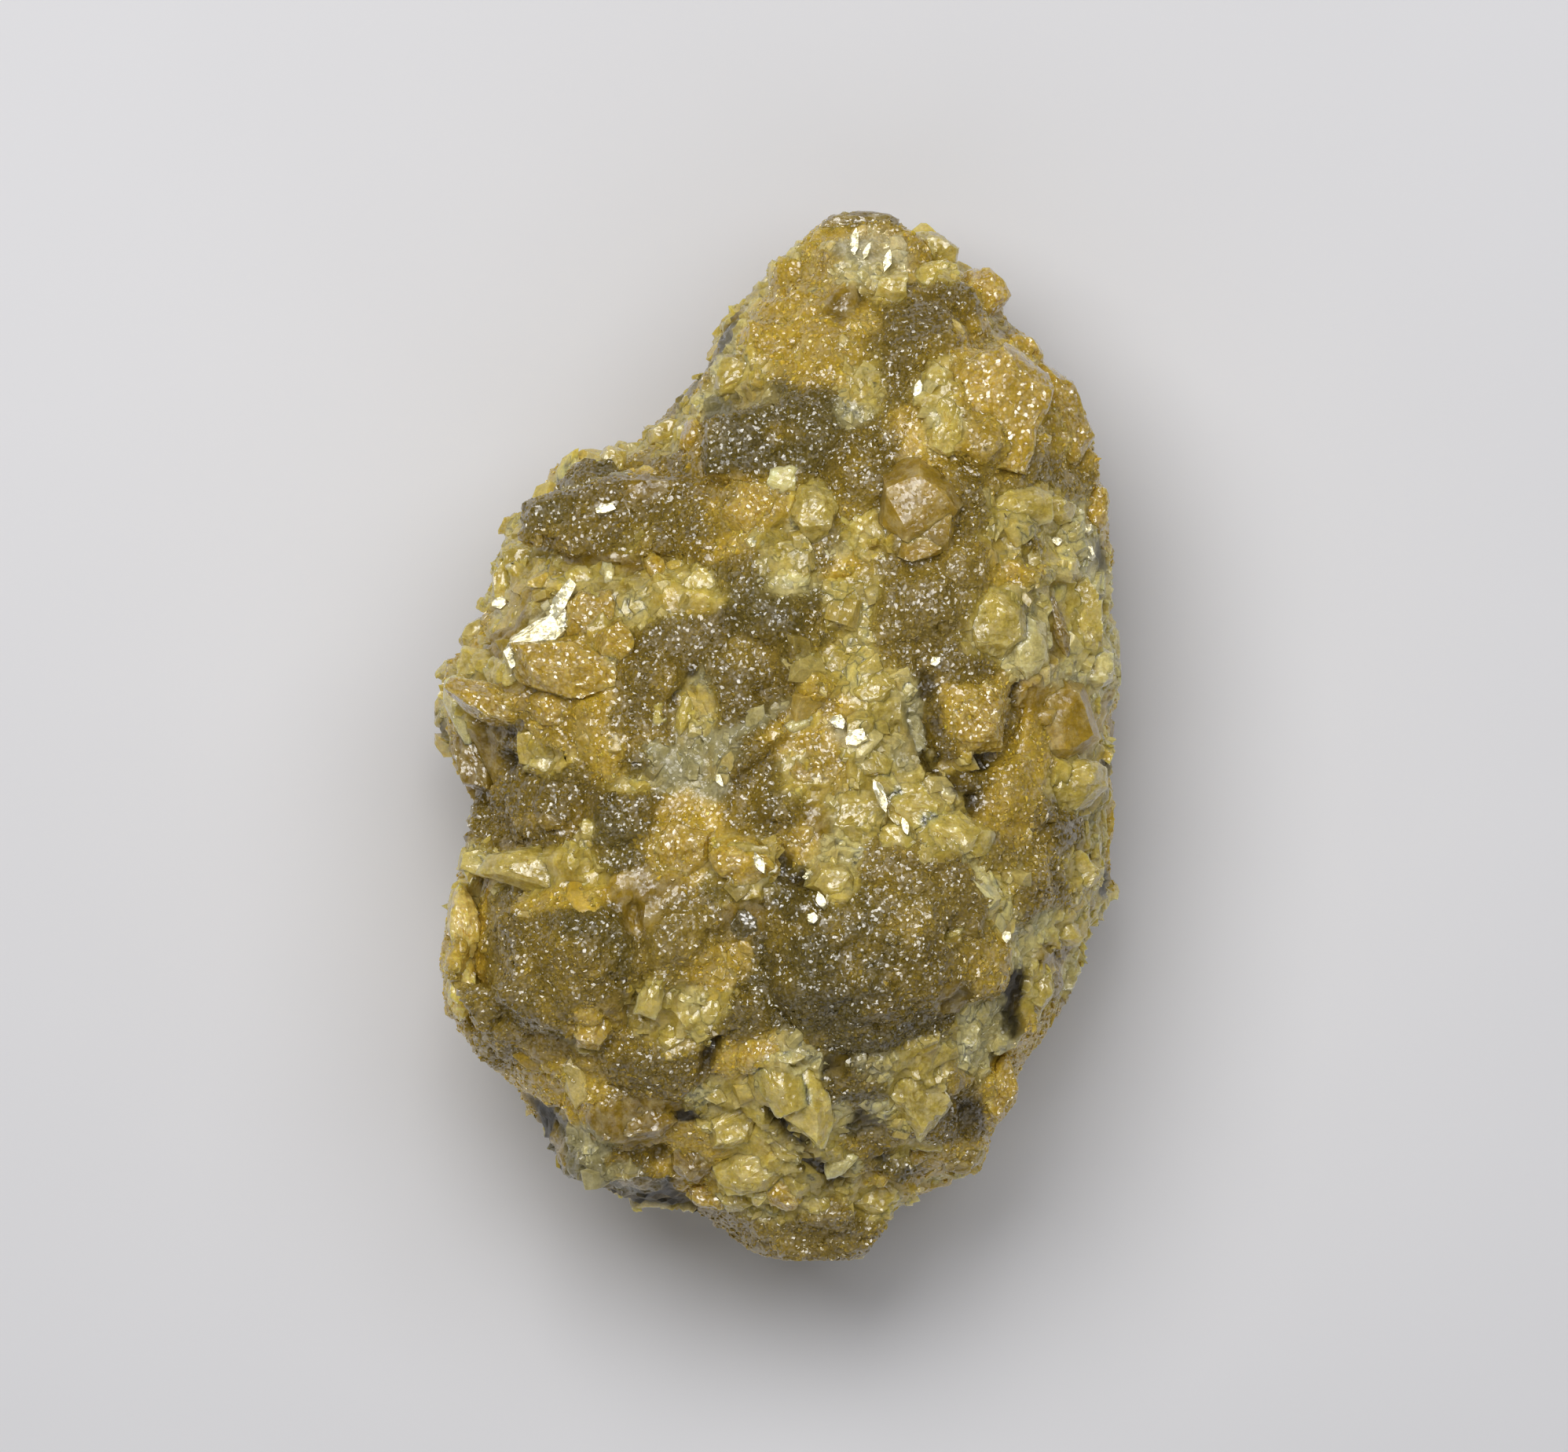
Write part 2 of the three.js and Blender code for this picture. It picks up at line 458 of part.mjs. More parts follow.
// The room that a groove takes out of the stone: a wedge with its edge down, mitred where its line bends.
function groove({ line, width, depth }) {
  const stops = line.map(([x, y]) => new THREE.Vector2(x, y));
  const flare = (width / 2) * (1 + GROOVE_REACH / depth);
  const points = stops.flatMap((p, i) => {
    const ahead = stops[Math.min(i + 1, stops.length - 1)];
    const behind = stops[Math.max(i - 1, 0)];
    const along = ahead.clone().sub(behind).normalize();
    const floor = crownHeight(p) - depth;
    const top = floor + depth + GROOVE_REACH;
    return [
      new THREE.Vector3(p.x, p.y, floor),
      new THREE.Vector3(p.x - along.y * flare, p.y + along.x * flare, top),
      new THREE.Vector3(p.x + along.y * flare, p.y - along.x * flare, top),
    ];
  });
  const last = points.length - 3;
  const triangles = [0, 2, 1, last, last + 1, last + 2];
  for (let i = 0; i < last; i += 3) {
    for (const [from, to] of [[0, 1], [1, 2], [2, 0]]) {
      triangles.push(i + from, i + to, i + 3 + from, i + to, i + 3 + to, i + 3 + from);
    }
  }
  return solidOf(geometryOf(points, triangles));
}

// A crystal of any habit, turned any way, with its middle as deep below the stone's surface as sunk says.
function anyCrystal(p, height, up, radius, sunk) {
  const habits = Object.keys(HABITS);
  const habit = habits[Math.floor(habits.length * random())];
  const size = [radius * (1 + spread(ELONGATION)), radius * (1 + spread(ELONGATION)), radius];
  const middle = new THREE.Vector3(p.x, p.y, height(p)).addScaledVector(wayOut(p, height, up), -sunk);
  const turn = new THREE.Quaternion().setFromEuler(new THREE.Euler(...[0, 0, 0].map(() => spread(Math.PI))));
  return crystal(habit, size, middle.toArray(), turn);
}

function rowCrystals({ rows, spacing, radius, sunk }) {
  const made = [];
  for (const row of rows) {
    const [height, up] = row > 0 ? [crownHeight, 1] : [baseHeight, -1];
    const share = Math.abs(row);
    let walked = random() * spacing;
    girdle.forEach((start, i) => {
      const end = girdle[(i + 1) % girdle.length];
      walked += inward(start, share).distanceTo(inward(end, share));
      if (walked < spacing) return;
      walked = spread(SPACING_SPREAD * spacing);
      const p = inward(start.clone().lerp(end, random()), share);
      const size = lerp(...radius, random());
      made.push(anyCrystal(p, height, up, size, sunk * size));
    });
  }
  return made;
}

function crownFill({ spacing, radius, proud, edge }) {
  const { min, max } = new THREE.Box2().setFromPoints(girdle);
  const made = [];
  for (let x = min.x; x <= max.x; x += spacing) {
    for (let y = min.y; y <= max.y; y += spacing) {
      const p = new THREE.Vector2(x + spread(spacing / 3), y + spread(spacing / 3));
      const size = lerp(...radius, random());
      const sunk = 0.8 * size - lerp(...proud, random());
      const taken = CROWN_CRYSTALS.some(([, otherX, otherY, halfWidth, halfLength]) => {
        const gap = p.distanceTo(new THREE.Vector2(otherX, otherY));
        return gap < (halfWidth + halfLength) / 2 + size / 3;
      });
      if (taken || !inside(p) || edgeDistance(p) < edge) continue;
      made.push(anyCrystal(p, crownHeight, 1, size, sunk));
    }
  }
  return made;
}

// The room the stone can take: within its outline and above the cleavage face on which it lies.
function room() {
  const shape = new THREE.Shape(girdle.toReversed());
  return solidOf(new THREE.ExtrudeGeometry(shape, { depth: 2 * CROWN_HEIGHT, bevelEnabled: false }));
}

// ---------------------------------------------------------------- The skin

// The corners and triangles of the stone's outer skin: the largest closed shell, without the pockets that the
// crystals seal off between them and without loose crumbs.
function outerSkin(mesh) {
  const points = [];
  for (let i = 0; i < mesh.numVert; i++) {
    points.push(new THREE.Vector3().fromArray(mesh.vertProperties, mesh.numProp * i));
  }
  const triangles = [];
  for (let i = 0; i < mesh.triVerts.length; i += 3) triangles.push([...mesh.triVerts.slice(i, i + 3)]);
  const leader = points.map((_, i) => i);
  const lead = (i) => {
    while (leader[i] !== i) i = leader[i] = leader[leader[i]];
    return i;
  };
  for (const [a, b, c] of triangles) {
    leader[lead(a)] = lead(b);
    leader[lead(b)] = lead(c);
  }
  const shells = Map.groupBy(triangles, ([a]) => lead(a));
  const largest = [...shells.values()].reduce((best, shell) => (shell.length > best.length ? shell : best));
  return { points, triangles: largest };
}

// Draws the two ends of each edge under SHORTEST_EDGE together where that turns no face over, so that few
// slivers are left where crystals cross. The cleavage face stays flat.
function withoutShortEdges({ points, triangles }) {
  const around = points.map(() => new Set());
  for (const t of triangles) t.forEach((i) => around[i].add(t));
  const neighbours = (i) => new Set([...around[i]].flat().filter((j) => j !== i));
  const normal = (t) => {
    const [a, b, c] = t.map((i) => points[i]);
    return b.clone().sub(a).cross(c.clone().sub(a));
  };

  function drawTogether(a, b) {
    const shared = [...around[a]].filter((t) => t.includes(b));
    const common = [...neighbours(a)].filter((i) => neighbours(b).has(i));
    if (shared.length !== 2 || common.length !== 2) return false;
    const kept = [...around[a], ...around[b]].filter((t) => !shared.includes(t));
    const before = kept.map(normal);
    const [oldA, oldB] = [points[a], points[b]];
    const middle = oldA.clone().lerp(oldB, 0.5);
    if (Math.min(oldA.z, oldB.z) < NEARLY_NOTHING) middle.z = 0;
    points[a] = points[b] = middle;
    if (kept.some((t, k) => normal(t).angleTo(before[k]) > MOST_TURN)) {
      [points[a], points[b]] = [oldA, oldB];
      return false;
    }
    for (const t of shared) t.forEach((i) => around[i].delete(t));
    for (const t of around[b]) {
      t[t.indexOf(b)] = a;
      around[a].add(t);
    }
    around[b].clear();
    return true;
  }

  let drawn = true;
  while (drawn) {
    drawn = false;
    for (let a = 0; a < points.length; a++) {
      for (const b of neighbours(a)) {
        if (points[a].distanceTo(points[b]) >= SHORTEST_EDGE || !drawTogether(a, b)) continue;
        drawn = true;
        break;
      }
    }
  }
  const used = points.map((_, i) => i).filter((i) => around[i].size);
  const place = new Map(used.map((i, k) => [i, k]));
  const left = new Set(used.flatMap((i) => [...around[i]]));
  return { points: used.map((i) => points[i]), triangles: [...left].map((t) => t.map((i) => place.get(i))) };
}

// ---------------------------------------------------------------- The stone

THREE.MathUtils.seededRandom(SEED);

let stone = body();
for (const made of CROWN_CRYSTALS.map(crownCrystal)) stone = stone.add(made);
for (const made of SLABS.map(slab)) stone = stone.add(made);
for (const made of crownFill(CROWN_FILL)) stone = stone.add(made);
for (const made of CRYSTAL_ROWS.flatMap(rowCrystals)) stone = stone.add(made);
for (const cut of GROOVES.map(groove)) stone = stone.subtract(cut);
stone = stone.intersect(room());

const skin = withoutShortEdges(outerSkin(stone.getMesh()));
const geometry = geometryOf(skin.points, skin.triangles.flat());
geometry.computeBoundingBox();
const centre = geometry.boundingBox.getCenter(new THREE.Vector3());
geometry.translate(-centre.x, -centre.y, 0);

const material = new THREE.MeshStandardMaterial({
  color: 0x8f7848,
  roughness: 0.3,
  metalness: 0,
  flatShading: true,
});
const roughDiamond = new THREE.Mesh(geometry, material);
roughDiamond.name = "rough_diamond";

const group = new THREE.Group();
group.add(roughDiamond);
export default group;
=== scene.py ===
"""Rough diamond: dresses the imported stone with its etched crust, broken chips, crystals and grains.

The stone's surface is broken into flat faces, patch by patch. Single crystals, chips and grains are set
in it, and a pale floor, soft lights and the camera are put round it.
"""

import math

import bmesh
import bpy
import numpy as np
from mathutils import Matrix, Vector
from mathutils.bvhtree import BVHTree


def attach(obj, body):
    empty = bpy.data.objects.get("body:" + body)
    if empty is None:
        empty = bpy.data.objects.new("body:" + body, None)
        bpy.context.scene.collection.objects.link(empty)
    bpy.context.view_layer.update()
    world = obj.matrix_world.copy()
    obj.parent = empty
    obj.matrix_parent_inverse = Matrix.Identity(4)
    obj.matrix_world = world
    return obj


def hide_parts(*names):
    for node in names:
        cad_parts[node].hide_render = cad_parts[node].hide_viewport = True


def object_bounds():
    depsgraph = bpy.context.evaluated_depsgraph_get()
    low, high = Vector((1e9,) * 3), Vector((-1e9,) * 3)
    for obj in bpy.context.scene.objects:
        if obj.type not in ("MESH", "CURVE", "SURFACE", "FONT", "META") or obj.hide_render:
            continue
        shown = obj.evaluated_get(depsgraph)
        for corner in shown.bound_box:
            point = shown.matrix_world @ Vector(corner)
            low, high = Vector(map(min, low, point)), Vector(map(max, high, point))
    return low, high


bl_info = {
    "name": "Rough Diamond",
    "version": (1, 0, 0),
    "blender": (4, 5, 0),
    "location": "View3D > Sidebar > Rough Diamond",
    "description": "Builds the etched crust, chips, crystals and grains of a rough diamond",
    "category": "Object",
}

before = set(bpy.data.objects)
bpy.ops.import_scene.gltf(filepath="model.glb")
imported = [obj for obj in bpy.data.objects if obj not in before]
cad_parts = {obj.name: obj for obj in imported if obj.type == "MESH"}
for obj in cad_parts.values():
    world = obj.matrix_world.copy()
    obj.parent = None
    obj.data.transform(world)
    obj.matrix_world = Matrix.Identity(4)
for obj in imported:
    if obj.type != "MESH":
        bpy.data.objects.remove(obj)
LOADED_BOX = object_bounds()

STONE = "rough_diamond"
BODY = "root"
MM = 0.001
SEED = 17
# A line dropped on the stone starts this high (mm).
RAY_TOP = 20.0
# Height of a patch whose middle lies just outside the stone (mm).
RIM_HEIGHT = 2.2
# Half the stone's width and length (mm).
HALF_WIDTH, HALF_LENGTH = 3.28, 4.98
# The relief fades out from this height down to the resting face (mm).
BASE_FADE = 0.12
# A patch reaches its full lift this far inside its edge (mm).
EDGE_WIDTH = 0.05
# How many points are matched with the patches at a time.
BATCH = 8000
# Half the floor's width, and the camera's height above the point it looks at (m).
FLOOR_HALF = 0.6
CAMERA_RISE = 0.22
# What the camera looks at, and half the width that it sees there (m).
AIM = (0.061 * MM, 0.1125 * MM, 2.2 * MM)
VIEW_HALF = 7.485 * MM
SENSOR_WIDTH = 36.0

# Where each finish of the stone lies, seen from above: x, y, half width and half length (hundredths of a
# millimetre), and the turn (degrees) of a patch that is turned.
PATCHES = {
    "olive": [
        (-32, 276, 42, 30), (20, 292, 38, 30), (45, 322, 18, 15), (-180, 247, 30, 18, 20),
        (-220, 208, 34, 22, 10), (-30, 155, 20, 22), (-10, 110, 28, 22), (20, 115, 28, 20, 20),
        (-75, 60, 7, 8), (-100, 0, 9, 6, 40), (-135, -25, 14, 12), (-150, -85, 30, 24),
        (-140, -115, 22, 14), (15, -255, 32, 22), (85, -195, 62, 42), (90, -255, 60, 32),
        (35, -175, 34, 26), (-195, -178, 28, 14), (-150, -205, 14, 30), (120, -410, 24, 12),
        (75, -332, 26, 24), (-38, -255, 5, 8), (-45, -140, 16, 10), (45, 95, 14, 12),
        (155, -355, 20, 16),
    ],
    "umber": [
        (140, 395, 40, 36), (120, 345, 18, 26), (98, 372, 12, 14), (85, 255, 30, 34),
        (75, 212, 16, 20), (115, 280, 10, 12), (-100, 260, 26, 18), (-165, 205, 42, 26),
        (-110, 202, 44, 30), (-72, 200, 28, 28), (175, 240, 18, 24), (185, 210, 16, 16),
        (50, 185, 12, 12), (45, 168, 10, 10), (-120, 50, 26, 30), (-110, 82, 24, 22),
        (-68, 92, 26, 24), (-35, 42, 30, 36), (-135, 20, 20, 22), (-245, -10, 16, 12),
        (-235, -60, 38, 34), (-190, -55, 36, 30), (-225, -92, 34, 22), (-20, -60, 26, 30),
        (-10, -32, 16, 20), (180, 65, 26, 20), (148, 20, 11, 34), (155, -18, 14, 24),
        (185, -38, 30, 13), (224, 14, 9, 24), (270, -85, 30, 24), (242, -150, 26, 22),
        (268, -142, 20, 22), (50, 30, 12, 10), (-210, -220, 55, 48), (-225, -265, 42, 30),
        (-175, -225, 26, 36), (-135, -310, 32, 28), (-95, -318, 26, 20, 20), (-30, -272, 26, 18),
        (165, -360, 30, 24), (-135, -400, 18, 10), (125, 80, 20, 16), (-275, -90, 14, 26),
        (135, -230, 40, 40), (235, 185, 20, 10), (15, -75, 14, 16), (-100, 20, 16, 20),
        (-130, -70, 22, 20),
    ],
    "taupe": [
        (75, 492, 42, 13), (-65, 340, 16, 16), (-100, 310, 20, 12, 30), (-130, 255, 20, 18),
        (230, 255, 36, 26), (282, 242, 24, 24), (135, 145, 30, 26), (120, 110, 28, 26),
        (162, 120, 30, 30), (180, 152, 26, 24), (120, -120, 30, 18), (170, -145, 38, 32),
        (185, -205, 30, 36), (-90, -190, 34, 34), (-100, -220, 26, 22), (-262, -290, 22, 24),
        (-30, -475, 40, 20), (45, -472, 42, 22), (90, -390, 22, 18), (210, -115, 22, 22),
        (-260, -195, 20, 30), (10, 242, 14, 12), (130, -175, 40, 22), (120, -98, 26, 10),
        (-25, 80, 20, 16),
    ],
    # Painted shade in part: the trench right of the middle, the cracks near the bottom and the thin lines
    # beside the ribbed plate are sunk, and their shade is painted in with this dark brown as well; the other
    # patches are dark brown crust.
    "brown": [
        (145, 42, 9, 16), (148, 12, 11, 26), (152, -20, 13, 20), (174, -40, 22, 13),
        (198, -22, 16, 12, 30), (216, -2, 9, 16, -30), (227, 26, 6, 20, -10), (188, -60, 12, 14),
        (0, -358, 7, 14, 30), (16, -380, 7, 14, 36), (36, -404, 11, 16, 40), (52, -422, 14, 9),
        (174, -358, 24, 17, 10), (142, -366, 11, 10), (124, -410, 8, 6), (-80, -360, 13, 5, 16),
        (-135, -400, 12, 8), (-105, -392, 14, 7, 30), (-250, 4, 13, 12), (-246, -18, 10, 16),
        (-98, 2, 10, 5), (-94, 36, 5, 12, -30), (-76, 62, 7, 7), (10, -120, 6, 14),
        (22, -136, 8, 8), (-84, -86, 5, 10), (-287, -185, 3, 30), (-286, -240, 3, 30),
        (230, -242, 6, 17), (-60, -305, 6, 18, -20), (270, -200, 12, 10), (102, -396, 6, 8),
        (-80, 134, 3, 14, -30),
    ],
    "ribbed": [
        (-300, -162, 14, 28), (-303, -205, 14, 28), (-303, -242, 13, 26),
    ],
    "ash": [
        (-200, -376, 14, 20, 20), (-182, -412, 18, 14), (-142, -428, 22, 12), (-112, -430, 16, 12),
        (-95, 322, 8, 22, -50), (-50, 376, 7, 26, -20), (216, -274, 13, 14), (320, -142, 8, 14),
        (320, -48, 6, 18), (84, -370, 18, 12), (-42, 316, 24, 8), (302, 134, 10, 12),
        (95, -400, 16, 6, 20), (-30, -272, 16, 10, 20), (-260, -290, 16, 10, -30),
    ],
    "streaked": [
        (-225, -80, 40, 14), (-235, -102, 30, 10), (-200, -310, 44, 16, -20),
        (-230, -288, 26, 12, -20), (-155, -262, 20, 16),
    ],
    "honey": [
        (22, -5, 28, 16), (45, -30, 24, 18), (55, 36, 22, 18), (30, 435, 36, 30), (0, 410, 22, 22),
        (195, 425, 22, 22), (35, 385, 26, 20), (80, 392, 16, 16), (20, 362, 26, 18),
        (55, 350, 26, 24), (210, 320, 46, 62), (265, 310, 34, 36), (288, 275, 26, 26),
        (235, 368, 24, 22), (310, 220, 18, 24), (-78, 275, 14, 14), (130, 288, 14, 18),
        (-50, 235, 22, 16), (-15, 220, 22, 22), (-160, 85, 18, 16), (-185, 72, 30, 28),
        (-180, 32, 26, 24), (-190, 2, 26, 20), (-160, -20, 20, 20), (-262, 33, 26, 10),
        (185, 30, 34, 34), (245, -10, 28, 30), (228, -42, 30, 24), (220, -78, 30, 22),
        (-80, -80, 26, 22), (-98, -112, 28, 30), (30, -95, 20, 14), (-170, -272, 26, 24),
        (-200, -315, 40, 20, -20), (202, -215, 22, 26), (252, -280, 20, 26), (215, -340, 20, 26),
        (-70, -430, 26, 22), (-78, -392, 28, 24), (-300, -195, 16, 44), (-300, -255, 14, 30),
        (-20, -305, 26, 22), (130, 230, 20, 30), (70, 165, 18, 16), (175, -400, 26, 14),
        (210, 155, 24, 20), (-65, -210, 22, 18), (-205, -152, 34, 12, 10), (-40, 180, 20, 12),
    ],
    "amber": [
        # The thin band at -160, 168 is painted shadow: the shade under the lower edge of the plate above it,
        # painted amber.
        (62, 405, 18, 14), (-120, 232, 16, 10), (-160, 168, 55, 6), (145, 212, 22, 30),
        (268, 105, 6, 26), (-285, -15, 24, 28), (-260, 5, 18, 10), (262, -205, 12, 12),
        (40, -85, 16, 14), (-120, -145, 30, 12), (-120, -170, 22, 16), (166, -245, 16, 20),
        (-132, -365, 36, 18), (-27, -170, 15, 13), (-295, -55, 12, 22), (-130, -132, 18, 8),
        (255, 75, 12, 10), (-235, 60, 28, 24),
    ],
    "resin": [
        (276, 22, 38, 30),
    ],
    "lemon": [
        (150, 462, 24, 16), (16, 458, 16, 10), (110, 422, 16, 12), (152, 438, 20, 12),
        (85, 335, 18, 20), (155, 322, 18, 20), (-35, 342, 20, 18), (-95, 286, 16, 12),
        (-116, 280, 12, 12), (-150, 262, 12, 12), (-242, 185, 12, 10), (-260, 175, 12, 10),
        (35, 215, 22, 20), (230, 215, 22, 18), (265, 218, 20, 18), (85, 195, 22, 22),
        (8, 188, 20, 18), (-250, 158, 20, 16), (-225, 155, 22, 12), (-180, 152, 28, 12),
        (-262, 142, 12, 16), (-252, 112, 20, 20), (-230, 85, 18, 14), (-315, 35, 16, 20),
        (-300, 12, 18, 12), (-210, -25, 22, 13), (-75, 138, 22, 18), (-100, 156, 18, 14),
        (-130, 125, 16, 14), (-70, 30, 20, 20), (-140, -42, 20, 10), (-175, -85, 13, 12),
        (-220, -125, 48, 22), (-32, -118, 30, 26), (-282, -110, 10, 12), (12, 165, 24, 16),
        (76, 142, 20, 16), (70, 115, 24, 22), (212, 115, 32, 34), (288, 112, 28, 34),
        (90, 48, 26, 22), (30, 15, 24, 7, 30), (65, 75, 24, 18), (32, -35, 24, 18),
        (90, -32, 30, 22), (75, -75, 28, 24), (140, -60, 34, 26), (158, -95, 30, 18),
        (56, -140, 18, 15), (285, -128, 22, 20), (280, -40, 30, 26), (305, -75, 16, 22),
        (-115, -242, 8, 18, -20), (-95, -276, 24, 16), (-60, -262, 18, 14), (-42, -360, 28, 26),
        (-22, -420, 34, 28), (275, -185, 22, 20), (250, -240, 20, 24), (135, -320, 26, 28),
        (128, -358, 16, 14), (135, -395, 18, 12), (42, -382, 20, 20), (65, -405, 14, 18),
        (10, -430, 28, 24), (95, -432, 26, 22), (-15, -325, 18, 26), (170, -185, 14, 5, 30),
        (305, 60, 20, 20), (220, 180, 20, 14), (-5, -450, 40, 12), (-85, -245, 14, 14),
        (110, 442, 16, 10), (-295, -155, 10, 22), (95, 10, 26, 20), (-170, 118, 24, 18),
    ],
    "cream": [
        (70, 442, 16, 12), (137, 327, 6, 12), (165, 295, 18, 18), (-42, 360, 8, 20),
        (240, 95, 20, 24), (315, 85, 16, 20), (285, 58, 24, 14), (110, 50, 14, 14),
        (20, -20, 12, 10), (15, 142, 18, 14), (62, 178, 12, 10), (205, -140, 7, 40, 42),
        (232, -195, 18, 16), (276, -230, 14, 16), (190, -278, 14, 20), (185, -312, 16, 14),
        (210, -275, 8, 14), (-80, -250, 12, 10), (12, -330, 26, 34, 15), (60, -355, 14, 12),
        (100, -355, 12, 14), (12, -392, 14, 12), (62, -110, 18, 14), (292, 185, 12, 14),
        (302, 150, 14, 18), (35, -362, 16, 18), (260, -175, 16, 14),
    ],
    "chalk": [
        (-35, 318, 30, 9), (-5, 312, 14, 10), (70, 310, 16, 12), (-70, -10, 24, 18),
        (-110, -15, 16, 7), (-25, 12, 30, 7, 30), (-62, -45, 12, 18), (-95, -35, 18, 14),
        (130, 12, 16, 22), (120, -16, 14, 14), (-175, -385, 20, 16), (-180, -412, 14, 14),
        (-145, -412, 14, 6), (95, -315, 16, 12), (-70, 55, 10, 10), (-90, 10, 8, 18),
    ],
    # The long thin patches at 20, -380 and -80, -360 are painted shade along the cracks; the others are a
    # dark film.
    "slate": [
        (-46, 390, 10, 20), (-54, 366, 8, 14), (306, 174, 12, 14), (304, 124, 6, 8),
        (-320, 18, 8, 12), (320, -48, 5, 10), (317, -140, 8, 10), (230, -240, 7, 18, -10),
        (224, -268, 10, 16), (210, -302, 12, 14), (-215, -362, 16, 14), (-155, -436, 22, 14),
        (-105, -436, 26, 20), (86, -366, 14, 14), (-80, -360, 16, 6, 10), (20, -380, 5, 44, 38),
        (-72, -2, 6, 8), (62, -315, 12, 10),
    ],
    # Partly painted highlight: these cleavage faces and small glinting spots are painted near white, besides
    # being made partly metallic.
    "silver": [
        (80, 468, 24, 17), (110, 452, 20, 18), (-160, 215, 13, 5), (-222, 92, 42, 11, 37),
        (72, 0, 15, 8), (-50, -45, 8, 7), (-260, 122, 8, 6), (105, -58, 8, 12, 20), (62, 12, 10, 8),
        (162, -50, 10, 6), (-30, -122, 16, 4, 10), (298, 198, 10, 8),
    ],
}
